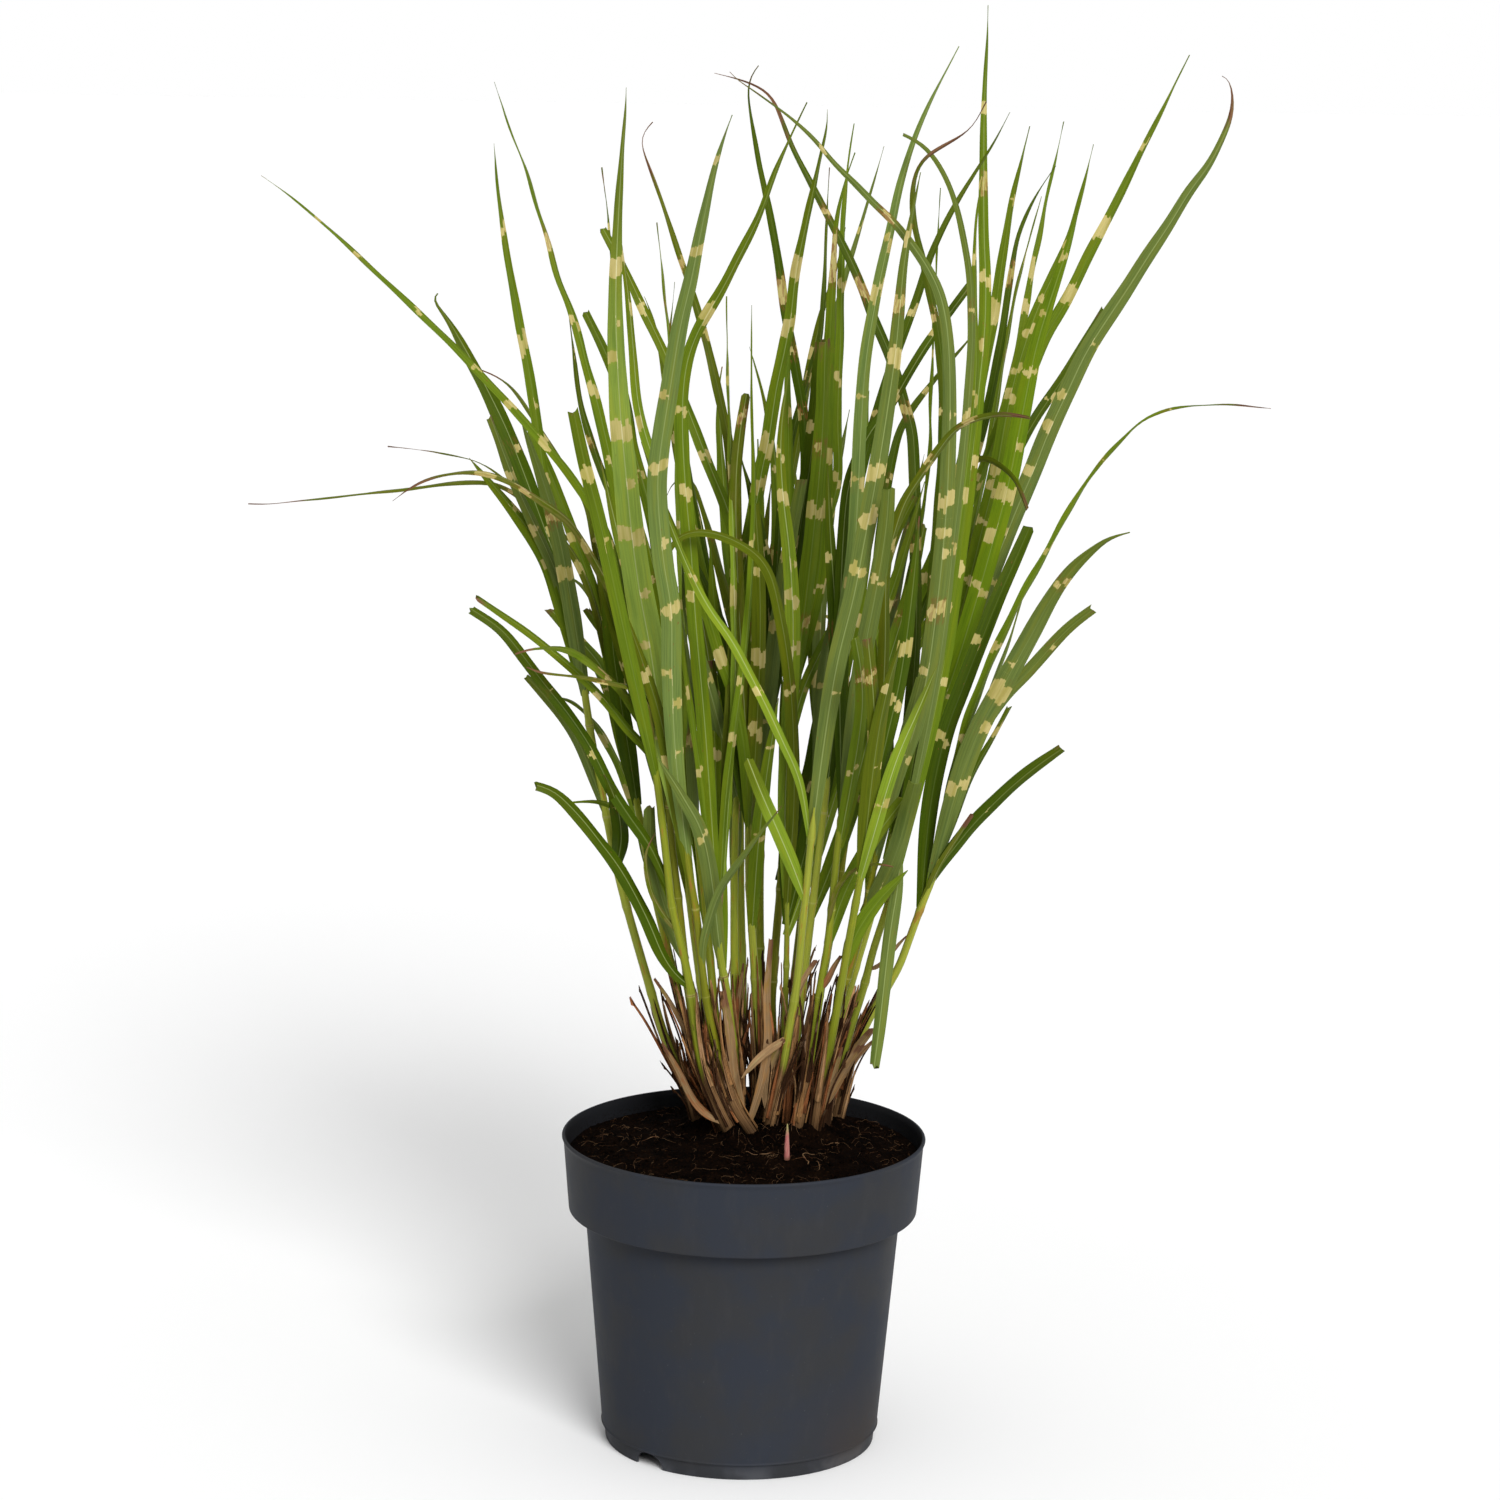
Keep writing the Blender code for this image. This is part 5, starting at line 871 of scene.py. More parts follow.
def grow_leaf(culm, leaf, rank, others, own):
    """The leaf's path at the first depth clear of every other shoot and, past the sheath, of its own."""
    width, turns, sweep, end, outline = leaf
    inset = SHEATH_INSET * (rank + 1)
    for tried, bulge in sweeps(sweep):
        path, shares = leaf_path(culm, outline, inset, tried * MM, bulge * MM)
        shell = tree_of(*leaf_mesh(path, shares, width, turns, end, CLEARANCE))
        if any(shell.overlap(other) for other in others):
            continue
        free = tree_of(*leaf_mesh(*beyond(path, shares, FREE_LENGTH), width, turns, end, CLEARANCE / 2))
        if not any(free.overlap(other) for other in own):
            return path, shares
    return leaf_path(culm, outline, inset, sweep * MM, 0.0)


def filling_leaves(number, outline, count):
    """Leaves that lean on with the fan of the clump: two from the culm's top, then one from half way up."""
    chance = random.Random(FILL_SEED + number)
    leaves = []
    for side, start in ((-1, -1), (1, -1), (1, len(outline) // 2))[:max(0, FULL_SHOOT - count)]:
        x, z = outline[start]
        lean = (x - CROWN[0]) / (z - CROWN[1])
        rise = chance.uniform(*FILL_RISE) * (1 - abs(lean))
        drift = lean * rise + side * chance.uniform(*FILL_DRIFT)
        curl = side * chance.uniform(*FILL_CURL)
        spots = tuple(
            (x + drift * t + curl * math.sin(math.pi * t), z + rise * t) for t in (0, 0.35, 0.7, 1)
        )
        end = chance.choice((FINE, FINE, CUT))
        turns = (chance.uniform(*FILL_TURN), FILL_TIP_TURN)
        leaves.append((chance.uniform(*FILL_WIDTH), turns, chance.uniform(*FILL_SWEEP), end, spots))
    return leaves


def grow_shoots():
    """Every shoot's culm and leaf paths, culms first, each kept clear of what grew before it."""
    culms = [culm_path(base, depth, outline) for _, base, depth, _, outline, _ in SHOOTS]
    trees = [[tree_of(*culm_mesh(path, shoot[3]))] for path, shoot in zip(culms, SHOOTS)]
    grown = [[] for shoot in SHOOTS]
    own = [[] for shoot in SHOOTS]
    all_leaves = []
    for number, (*_, outline, leaves) in enumerate(SHOOTS):
        all_leaves.append([*leaves, *filling_leaves(number, outline, len(leaves))])
    for rank in range(max(len(leaves) for leaves in all_leaves)):
        for number, leaves in enumerate(all_leaves):
            if rank >= len(leaves):
                continue
            leaf = leaves[rank]
            others = [tree for k, group in enumerate(trees) if k != number for tree in group]
            path, shares = grow_leaf(culms[number], leaf, rank, others, own[number])
            width, turns, _, end, _ = leaf
            trees[number].append(tree_of(*leaf_mesh(path, shares, width, turns, end)))
            own[number].append(tree_of(*leaf_mesh(*beyond(path, shares, FREE_LENGTH), width, turns, end)))
            grown[number].append((path, shares, leaf))
    return culms, grown


class Skin:
    """Points, faces and the values that their material reads, gathered for one piece."""

    def __init__(self):
        self.points, self.faces, self.slots = [], [], []
        self.place, self.band, self.state, self.mark, self.tone = [], [], [], [], []

    def point(self, position, place=(0, 0, 0), band=FAR, state=(0, 0, 0), tone=(1, 1, 1), mark=FAR, edge=0):
        self.points.append(position)
        self.place.append(place)
        self.band.append(band)
        self.state.append(state)
        self.mark.append(mark)
        self.tone.append((*tone, edge))
        return len(self.points) - 1

    def face(self, corners, slot):
        self.faces.append(corners)
        self.slots.append(slot)

    def rings(self, rows, slot):
        """Closes rows of point numbers, each a ring of the same count, into a tube with ends."""
        count = len(rows[0])
        for low, high in zip(rows, rows[1:]):
            for k in range(count):
                after = (k + 1) % count
                self.face((low[k], low[after], high[after], high[k]), slot)
        self.face(tuple(reversed(rows[0])), slot)
        self.face(tuple(rows[-1]), slot)

    def made(self, name, materials, sharp=50):
        mesh = bpy.data.meshes.new(name)
        mesh.from_pydata([tuple(point) for point in self.points], [], self.faces)
        for made_of in materials:
            mesh.materials.append(made_of)
        mesh.polygons.foreach_set("material_index", self.slots)
        for key in ("place", "band", "state", "mark"):
            layer = mesh.attributes.new(key, "FLOAT_VECTOR", "POINT")
            layer.data.foreach_set("vector", [number for value in getattr(self, key) for number in value])
        layer = mesh.attributes.new("tone", "FLOAT_COLOR", "POINT")
        layer.data.foreach_set("color", [number for value in self.tone for number in value])
        mesh.validate()
        turn_outward(mesh)
        mesh.shade_smooth()
        mesh.set_sharp_from_angle(angle=math.radians(sharp))
        return linked(name, mesh)


def linked(name, data):
    """A new object for a mesh, lamp or camera, put in the scene."""
    made = bpy.data.objects.new(name, data)
    bpy.context.scene.collection.objects.link(made)
    return made


def turn_outward(mesh):
    shape = bmesh.new()
    shape.from_mesh(mesh)
    bmesh.ops.recalc_face_normals(shape, faces=shape.faces)
    shape.to_mesh(mesh)
    shape.free()


def mixed(first, second, share):
    return tuple(a + (b - a) * share for a, b in zip(first, second))


def eased(value):
    value = min(1.0, max(0.0, value))
    return value * value * (3 - 2 * value)


def read_at(path, shares, spots):
    """The path's points and shares at the given distances along it."""
    reach = along(path)
    points, values, span = [], [], 0
    for wanted in spots:
        while span < len(path) - 2 and reach[span + 1] < wanted:
            span += 1
        t = (wanted - reach[span]) / max(1e-9, reach[span + 1] - reach[span])
        points.append(path[span].lerp(path[span + 1], t))
        values.append(min(1.0, shares[span] + (shares[span + 1] - shares[span]) * t))
    return points, values


def resampled(path, shares, spacing):
    """The path at even spacing, with its shares."""
    length = along(path)[-1]
    count = max(6, round(length / spacing))
    return read_at(path, shares, [length * step / count for step in range(count + 1)])


def parted(points, shares, placed):
    """The path with a close pair of stations wherever the next band becomes the nearest one."""
    reach = along(points)
    spots = list(reach)
    for (first, half, *_), (second, next_half, *_) in zip(placed, placed[1:]):
        middle = (first + half + second - next_half) / 2
        spots += [spot for spot in (middle - SLIVER, middle + SLIVER) if 0 < spot < reach[-1]]
    return read_at(points, shares, sorted(spots))


def relaxed(points, rounds):
    """The path with its kinks eased, ends kept."""
    for _ in range(rounds):
        runs = zip(points, points[1:], points[2:])
        points = [points[0], *(0.25 * a + 0.5 * b + 0.25 * c for a, b, c in runs), points[-1]]
    return points


def band_places(points, reach, bands, chance):
    """Each band's distance along the blade, from the height at which it is read."""
    heights = [seen_from_viewpoint(point).y / MM for point in points]
    placed = []
    for band in bands:
        height, half, side, rust = (*band, 0, 0)[:4]
        crossing = next((k for k in range(1, len(heights)) if heights[k - 1] <= height <= heights[k]), None)
        if crossing is not None:
            placed.append((reach[crossing], half * MM, side, rust, chance.uniform(*BAND_SLANT)))
    return sorted(placed)


def chance_bands(length, chance):
    """Bands on a blade whose own are not read."""
    placed, spot = [], chance.uniform(*FIRST_BAND)
    while spot < length - LAST_BAND:
        side = chance.choice((0, 0, 0, -1, 1))
        half, rust = chance.uniform(*BAND_HALF), chance.choice((0, 0, 0, 0.2, 0.6))
        placed.append((spot, half, side, rust, chance.uniform(*BAND_SLANT)))
        spot += chance.uniform(*BAND_SPACING)
    return placed


def band_at(spot, placed):
    """What the material reads of the nearest band: (distance, side, rust) and (offset, half, shift)."""
    nearest, band, mark = FAR[0], FAR, FAR
    for centre, half, side, rust, shift in placed:
        distance = (abs(spot - centre) - half) / MM
        if distance < nearest:
            nearest, band = distance, (distance, side, rust)
            mark = ((spot - centre) / MM, half / MM, shift)
    return band, mark


def add_blade(skin, path, shares, width, turns, end, look, chance):
    """One leaf blade: a shallow gutter with a ridge under its midrib, drawn out or cut at its end."""
    tone, dry, tip_dry, bands = look
    points, shares = resampled(path, shares, STATION)
    points = relaxed(points, 3)
    points[-1] = points[-1].lerp(points[-2], TIP_BACK)
    reach = along(points)
    placed = chance_bands(reach[-1], chance) if bands is None else band_places(points, reach, bands, chance)
    points, shares = parted(points, shares, placed)
    reach = along(points)
    seed, phase = chance.uniform(*NOISE_SEED), chance.uniform(0, math.tau)
    flutter = chance.uniform(*FLUTTER) * MM
    light = tone in (PALE, LIGHT)
    ribbed = LIGHT_RIBBED if light else chance.choice(RIBBED)
    deepened = LIGHT_TIP_OLIVE if light else chance.uniform(*TIP_OLIVE)
    rows = []
    for k, (centre, share) in enumerate(zip(points, shares)):
        across, out = across_leaf(points, k, turns[0] + (turns[1] - turns[0]) * share)
        half = max(HAIR, width * MM * leaf_width(share, end)) / 2
        fold = half * (FOLD - FOLD_LOST * share)
        worn = TIP_WEAR * tip_dry
        rust = tip_dry * eased((share - 1 + worn) / (worn + 0.001))
        state = (dry, rust, ribbed * min(1.0, half / FULL_RIB))
        shade = mixed(tone, OLIVE, deepened * eased((share - OLIVE_FROM) / OLIVE_OVER))
        band, mark = band_at(reach[k], placed)
        tangent = out.cross(across)
        ragged = 0.0
        row_top, row_under = [], []
        for column in COLUMNS:
            if end == CUT and k == len(points) - 1:
                ragged = chance.uniform(*RAGGED_CUT)
            swing = math.sin(math.tau * reach[k] / WAVE_LENGTH + phase + WAVE_SKEW * column)
            wave = flutter * swing * abs(column)
            inward = 1 - abs(column)
            top = centre + half * column * across + (wave - fold * inward) * out + ragged * tangent
            read = ((half * column / MM, reach[k] / MM, seed), band, state, shade, mark, abs(column))
            row_top.append(skin.point(top, *read))
            if inward:
                depth = BLADE_EDGE + (BLADE_MIDRIB - BLADE_EDGE) * inward ** 2
                row_under.append(skin.point(top - min(depth, half) * out, *read))
        rows.append([*row_top, *reversed(row_under)])
    skin.rings(rows, BLADE_SLOT)


def add_culm(skin, path, radius, tone, chance):
    """A round culm wrapped in sheaths, with a slight swelling at each node."""
    points, shares = resampled(path, [k / (len(path) - 1) for k in range(len(path))], STATION)
    points = relaxed(points, 2)
    reach = along(points)
    seed, first_node = chance.uniform(*NOISE_SEED), chance.uniform(*FIRST_NODE)
    rows = []
    for k, (centre, share) in enumerate(zip(points, shares)):
        _, side, front = culm_axes(points, k)
        to_node = abs((reach[k] - first_node + NODE_SPACING / 2) % NODE_SPACING - NODE_SPACING / 2)
        bulge = NODE_BULGE * math.exp(-((to_node / NODE_WIDTH) ** 2))
        closed = 1 - CLOSED_BY * eased((share - CLOSED_FROM) / CLOSED_OVER)
        size = (culm_reach(radius, share, reach[k]) - NODE_BULGE + bulge) * closed
        dry = eased(1 - (reach[k] - DRY_FROM) / DRY_OVER)
        row = []
        for step in range(CULM_ROUND):
            angle = math.tau * step / CULM_ROUND
            spot = centre + size * (math.cos(angle) * side + math.sin(angle) * front)
            read = ((angle * radius / MM, reach[k] / MM, seed), (to_node / MM, 0, 0), (dry, share, 0), tone)
            row.append(skin.point(spot, *read))
        rows.append(row)
    skin.rings(rows, CULM_SLOT)
    return points


def add_husk(skin, points, radius, start, length, facing, spread, flare, tone, chance):
    """A dry sheath that wraps part of the culm and comes away from it towards its ragged tip."""
    reach = along(points)
    seed = chance.uniform(*NOISE_SEED)
    steps = max(6, round(length / STATION))
    taper = chance.choice(HUSK_TAPERS)
    rows = []
    for step in range(steps + 1):
        share = step / steps
        wanted = start + length * share
        k = next((n for n, distance in enumerate(reach) if distance >= wanted), len(points) - 2)
        k = max(1, min(k, len(points) - 2))
        t = (wanted - reach[k - 1]) / (reach[k] - reach[k - 1])
        centre = points[k - 1].lerp(points[k], t)
        tangent, side, front = culm_axes(points, k)
        close = culm_reach(radius, 0.0, wanted) + HUSK_LIFT
        size = close + flare * share ** FLARE_CURVE
        half = (spread * (1 - share) ** taper + HUSK_TIP) * close / size
        row_out, row_in = [], []
        for column in range(HUSK_COLUMNS):
            u = 2 * column / (HUSK_COLUMNS - 1) - 1
            angle = facing + half * u
            ragged = chance.uniform(*HUSK_RAGGED) if step == steps else 0.0
            direction = math.cos(angle) * side + math.sin(angle) * front
            crease = HUSK_CREASE * math.sin(CREASES * u + seed)
            outer = centre + (size + crease) * direction + ragged * tangent
            read = ((u * half * size / MM, wanted / MM, seed), FAR, (1, share, 0), tone)
            row_out.append(skin.point(outer, *read))
            row_in.append(skin.point(outer - HUSK_THICKNESS * direction, *read))
        rows.append([*row_out, *reversed(row_in)])
    skin.rings(rows, HUSK_SLOT)


def look_of(number, rank, chance):
    """The look given for a leaf, or a likely one for a leaf in the middle of the clump."""
    if (number, rank) in LOOKS:
        return LOOKS[number, rank]
    tone = chance.choice(MIDDLE_TONES)
    return tone, 0.0, chance.uniform(*MIDDLE_TIP_DRY), None


def dress_shoots(materials):
    culms, grown = grow_shoots()
    for number, (culm, leaves, shoot) in enumerate(zip(culms, grown, SHOOTS), start=1):
        chance = random.Random(SHOOT_SEED + number)
        skin = Skin()
        points = add_culm(skin, culm, shoot[3], CULM_TONES[number % len(CULM_TONES)], chance)
        for rank, (path, shares, (width, turns, _, end, _)) in enumerate(leaves, start=1):
            add_blade(skin, path, shares, width, turns, end, look_of(number, rank, chance), chance)
        # Some sheaths take the dark tone, partly their own colour and partly painted shade for the gaps at
        # the clump's foot
        for husk in range(HUSKS_ON_CULM):
            start = chance.uniform(*(LOW_START if husk < LOW_HUSKS else HUSK_START))
            length = chance.uniform(*(SHORT_LENGTH if husk < SHORT_HUSKS else HUSK_LENGTH))
            facing = chance.uniform(0, math.tau)
            spread = chance.uniform(*HUSK_SPREAD)
            flare, dead = chance.choice(HUSK_FLARES), chance.choice(HUSK_TONES)
            add_husk(skin, points, shoot[3], start, length, facing, spread, flare, dead, chance)
        # Dark strands: partly their own colour, partly painted shade among the sheaths
        for _ in range(STRANDS_ON_CULM):
            start, length = chance.uniform(*STRAND_START), chance.uniform(*STRAND_LENGTH)
            facing, flare = chance.uniform(0, math.tau), chance.uniform(*STRAND_FLARE)
            add_husk(skin, points, shoot[3], start, length, facing, STRAND_SPREAD, flare, DARK_HUSK_AND_SHADE, chance)
        piece = skin.made(f"{shoot[0]}_leaves", materials)
        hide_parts(shoot[0])
        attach(piece, "root")


def dress_new_shoot(made_of):
    """The pink spear: a pointed cone of rolled sheaths."""
    skin = Skin()
    x, y = SPEAR_BASE
    foot = Vector((x, y, soil_height(x, y) + FOOT_LIFT))
    height = SPEAR_PROFILE[-1][0]
    rows = []
    for step in range(SPEAR_RINGS + 1):
        share = step / SPEAR_RINGS
        wanted = share * height
        lower = max(k for k, (level, _) in enumerate(SPEAR_PROFILE[:-1]) if level <= wanted)
        (low, r_low), (high, r_high) = SPEAR_PROFILE[lower], SPEAR_PROFILE[lower + 1]
        size = r_low + (r_high - r_low) * (wanted - low) / (high - low)
        row = []
        for corner in range(SPEAR_ROUND):
            angle = math.tau * corner / SPEAR_ROUND
            lap = 1 - SPEAR_LAP * ((angle / math.tau + 1.5 * share) % 1)
            spot = foot + Vector((size * lap * math.cos(angle), size * lap * math.sin(angle), wanted))
            row.append(skin.point(spot, (angle * size / MM, wanted / MM, 3), state=(0, share, 0)))
        rows.append(row)
    skin.rings(rows, 0)
    piece = skin.made("new_shoot_spear", [made_of])
    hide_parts("new_shoot")
    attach(piece, "root")


# Node trees for the materials
class Graph:
    """A Principled material whose sockets are fed by nodes. Values may be sockets, numbers or tuples."""

    def __init__(self, name):
        self.material = bpy.data.materials.new(name)
        self.material.use_nodes = True
        self.tree = self.material.node_tree
        self.shader = self.tree.nodes["Principled BSDF"]

    def feed(self, socket, value):
        if isinstance(value, bpy.types.NodeSocket):
            self.tree.links.new(value, socket)
        elif isinstance(value, tuple) and socket.type == "RGBA":
            socket.default_value = (*value[:3], 1.0)
        else:
            socket.default_value = value

    def node(self, kind, values=(), **settings):
        """The outputs of a new node, its settings made and its inputs fed in order or by name."""
        node = self.tree.nodes.new("ShaderNode" + kind)
        for key, setting in settings.items():
            setattr(node, key, setting)
        for key, value in values.items() if isinstance(values, dict) else enumerate(values):
            self.feed(node.inputs[key], value)
        return node.outputs

    def math(self, operation, *values):
        return self.node("Math", values, operation=operation)[0]

    def times(self, first, second):
        return self.math("MULTIPLY", first, second)

    def plus(self, first, second):
        return self.math("ADD", first, second)

    def minus(self, first, second):
        return self.math("SUBTRACT", first, second)

    def step(self, value, low, high):
        """0 below low and 1 above high, eased; the other way round if low is the higher."""
        ends = {"From Min": min(low, high), "From Max": max(low, high)}
        ends |= {"To Min": 0.0, "To Max": 1.0} if low < high else {"To Min": 1.0, "To Max": 0.0}
        return self.node("MapRange", {"Value": value, **ends}, interpolation_type="SMOOTHSTEP")["Result"]

    def mix(self, share, first, second, blend="MIX"):
        values = {"Factor": share, 6: first, 7: second}
        return self.node("Mix", values, data_type="RGBA", blend_type=blend)[2]

    def tinted(self, tone, tint):
        return self.mix(1.0, tone, tint, "MULTIPLY")

    def laid(self, color, over, strength, value, low, high):
        """A second colour laid over the first where a value steps from low to high, at a strength."""
        return self.mix(self.times(self.step(value, low, high), strength), color, over)

    def vector(self, x, y, z):
        return self.node("CombineXYZ", (x, y, z))[0]

    def parts(self, vector):
        return tuple(self.node("SeparateXYZ", (vector,)))

    def attribute(self, name, output="Vector"):
        return self.node("Attribute", attribute_name=name)[output]

    def position(self):
        return self.node("TexCoord")["Object"]

    def stretched(self, position, scale):
        return self.node("Mapping", {"Vector": position, "Scale": scale})[0]

    def noise(self, position, scale=1.0, detail=2.0, roughness=0.5):
        values = {"Vector": position, "Scale": scale, "Detail": detail, "Roughness": roughness}
        return self.node("TexNoise", values)["Fac"]

    def grain(self, spot, across, along, shift=0.0, detail=2.0, roughness=0.5):
        """Noise over a surface, from its (across, along, seed), as fine each way as the scales given."""
        seed = self.plus(spot[2], shift) if shift else spot[2]
        place = self.vector(self.times(spot[0], across), self.times(spot[1], along), seed)
        return self.noise(place, 1.0, detail, roughness)

    def bump(self, height, distance, strength=1.0):
        values = {"Strength": strength, "Distance": distance, "Height": height}
        self.feed(self.shader.inputs["Normal"], self.node("Bump", values)[0])

    def finish(self, color, roughness, specular=0.5):
        self.feed(self.shader.inputs["Base Color"], color)
        self.feed(self.shader.inputs["Roughness"], roughness)
        self.shader.inputs["Specular IOR Level"].default_value = specular
        return self.material


def blade_material():
    """A banded blade: veins, a pale midrib, cream bands with fingered ends, brown specks and dry tips."""
    g = Graph("banded blade")
    spot = across, length, seed = g.parts(g.attribute("place"))
    to_band, side, rust = g.parts(g.attribute("band"))
    dry, tip, rib = g.parts(g.attribute("state"))
    offset, half, shift = g.parts(g.attribute("mark"))
    tone, edge = g.attribute("tone", "Color"), g.attribute("tone", "Alpha")
    veins = g.grain(spot, 2.8, 0.02, 0, 3.0, 0.6)
    broad = g.grain(spot, 0.3, 0.02, 9.0)
    vein_shade = g.step(veins, 0.32, 0.68)
    yellowed = g.tinted(tone, YELLOWED)
    color = g.mix(vein_shade, g.tinted(tone, SHADE_VEIN), g.tinted(tone, LIT_VEIN))
    color = g.laid(color, yellowed, 0.6, broad, 0.48, 0.72)
    color = g.laid(color, g.tinted(tone, DEEPENED), 0.6, broad, 0.44, 0.24)
    # A band's ends run out in fingers along the veins, and further at the blade's edges
    frayed = g.grain(spot, 1.5, 0.1, 47.0, 1.0)
    finger = g.math("SNAP", g.plus(across, frayed), FINGER_WIDTH)
    fingers = g.grain((finger, length, seed), 0.43, 0.03, 31.0, 1.0)
    moved = g.math("ABSOLUTE", g.minus(offset, g.times(shift, g.math("SIGN", across))))
    ragged = g.minus(moved, half)
    ragged = g.plus(ragged, g.times(g.plus(fingers, -FINGER_MIDDLE), FINGER))
    ragged = g.plus(ragged, g.times(g.plus(frayed, -0.5), FRAY))
    ragged = g.plus(ragged, g.times(g.times(g.step(edge, 0.62, 1.0), g.step(fingers, 0.4, 0.6)), EDGE_FRAY))
    wanted = g.times(g.step(to_band, *BAND_REACH), g.math("LESS_THAN", g.times(side, across), 0.25))
    inside = g.times(g.step(ragged, BAND_SOFTNESS, -BAND_SOFTNESS), wanted)
    halo = g.times(g.times(g.step(ragged, HALO, 0.0), wanted), 0.3)
    color = g.mix(halo, color, yellowed)
    cream = g.mix(g.step(broad, 0.35, 0.62), CREAM_SHADE, CREAM)
    cream = g.laid(cream, CREAM_VEIN, 0.35, veins, 0.55, 0.35)
    color = g.mix(g.times(inside, 0.88), color, cream)
    # Brown specks in and around the rusty bands, and a few anywhere
    specks = g.grain(spot, 1.1, 0.16, 50.0)
    spotted = g.times(g.times(g.step(to_band, 5.0, 1.0), rust), g.step(specks, 0.47, 0.57))
    color = g.mix(g.times(spotted, 0.85), color, RUST)
    color = g.laid(color, RUST, 0.7, g.grain(spot, 0.8, 0.2, 77.0), 0.73, 0.77)
    line = g.times(g.step(g.math("ABSOLUTE", across), *MIDRIB_REACH), g.times(rib, 0.8))
    color = g.mix(line, color, g.mix(inside, MIDRIB_GREEN, MIDRIB_CREAM))
    patches = g.grain(spot, 0.5, 0.1, 15.0, 3.0)
    withered = g.mix(vein_shade, DRY_SHADE, DRY)
    color = g.mix(g.times(dry, g.step(patches, 0.35, 0.6)), color, withered)
    worn = g.step(g.plus(tip, g.times(g.plus(patches, -0.5), 0.9)), 0.25, 0.6)
    color = g.mix(worn, color, g.mix(vein_shade, TIP_BROWN, TIP_TAN))
    g.bump(g.minus(g.times(veins, 0.6), g.times(line, 0.6)), 0.00025, 0.6)
    dryness = g.math("MAXIMUM", dry, worn)
    rough = g.plus(g.plus(0.42, g.times(veins, 0.12)), g.times(dryness, 0.25))
    return g.finish(color, rough, 0.05)


def culm_material():
    """A smooth yellow-green culm with ringed nodes, brown and reddish towards its foot, and painted shade
    darkening its lowest part.
    """
    g = Graph("culm")
    spot = g.parts(g.attribute("place"))
    to_node = g.parts(g.attribute("band"))[0]
    foot = g.parts(g.attribute("state"))[0]
    tone = g.attribute("tone", "Color")
    streaks = g.grain(spot, 1.6, 0.03, 0, 3.0, 0.6)
    blotches = g.grain(spot, 0.25, 0.05, 5.0, 3.0)
    shade = g.step(streaks, 0.3, 0.7)
    color = g.mix(shade, g.tinted(tone, SHADE_VEIN), g.tinted(tone, LIT_VEIN))
    color = g.laid(color, g.tinted(tone, YELLOWED), 0.6, blotches, 0.5, 0.7)
    color = g.laid(color, NODE_PALE, 0.6, to_node, 1.5, 0.7)
    color = g.laid(color, RUST, 0.75, to_node, 0.6, 0.2)
    color = g.laid(color, FOOT_RED, 0.65, blotches, 0.62, 0.7)
    browned = g.step(g.plus(foot, g.times(g.plus(blotches, -0.5), 0.9)), 0.22, 0.55)
    color = g.mix(browned, color, g.mix(shade, FOOT_BROWN, HUSK))
    # Painted shade: darker towards the foot, over the lowest 22 mm
    color = g.laid(color, FOOT_PAINTED_SHADE, 0.75, spot[1], 22.0, 3.0)
    g.bump(streaks, 0.0002, 0.5)
    return g.finish(color, g.plus(0.42, g.times(browned, 0.3)), 0.12)


def husk_material():
    """A dead sheath: papery, with lengthwise fibres, from bleached tan to dark brown, with painted shade
    darkening its foot.
    """
    g = Graph("dead sheath")
    spot = g.parts(g.attribute("place"))
    tone = g.attribute("tone", "Color")
    fibres = g.grain(spot, 2.6, 0.03, 0, 4.0, 0.65)
    patches = g.grain(spot, 0.3, 0.07, 3.0, 4.0)
    color = g.mix(g.step(fibres, 0.3, 0.7), g.tinted(tone, HUSK_SHADE), g.tinted(tone, HUSK_LIT))
    color = g.laid(color, HUSK_DARK, 0.75, patches, 0.52, 0.68)
    color = g.laid(color, HUSK_TAN, 0.6, patches, 0.42, 0.28)
    color = g.laid(color, HUSK_DARK, 0.7, g.grain(spot, 1.5, 0.7, 8.0), 0.66, 0.72)
    # Painted shade: darker towards the foot, over the lowest 20 mm
    color = g.laid(color, FOOT_PAINTED_SHADE, 0.75, spot[1], 20.0, 2.0)
    g.bump(fibres, 0.0004, 0.8)
    return g.finish(color, 0.78, 0.1)


def peat_material():
    """Damp peat: near black, with brown and reddish crumbs and tan threads."""
    g = Graph("peat")
    place = g.position()
    broad = g.noise(place, 60.0, 4.0, 0.6)
    fine = g.noise(place, 650.0, 4.0, 0.7)
    threads = g.noise(g.stretched(place, (300, 900, 300)))
    color = g.mix(g.step(broad, 0.4, 0.65), PEAT_BLACK, PEAT_BROWN)
    color = g.laid(color, PEAT_RED, 0.7, fine, 0.5, 0.72)
    color = g.laid(color, PEAT_TAN, 0.6, threads, 0.66, 0.74)
    g.bump(fine, 0.0012)
    return g.finish(color, g.plus(0.85, g.times(fine, 0.15)), 0.02)


def root_material():
    g = Graph("root fibre")
    shades = g.noise(g.position(), 220.0)
    color = g.mix(g.step(shades, 0.4, 0.62), ROOT_RED, ROOT_TAN)
    g.bump(shades, 0.0001, 0.5)
    return g.finish(color, 0.7, 0.2)


def young_material():
    """The new spear: pink sheaths, greener and paler towards the tip."""
    g = Graph("young sheath")
    streaks = g.grain(g.parts(g.attribute("place")), 2.5, 0.12, 0, 3.0)
    share = g.parts(g.attribute("state"))[1]
    color = g.mix(g.step(streaks, 0.35, 0.65), YOUNG_PINK, YOUNG_PALE)
    color = g.laid(color, YOUNG_GREEN, 0.8, share, 0.62, 0.95)
    color = g.laid(color, FOOT_BROWN, 0.8, share, 0.16, 0.0)
    g.bump(streaks, 0.0003, 0.6)
    return g.finish(color, 0.42, 0.4)


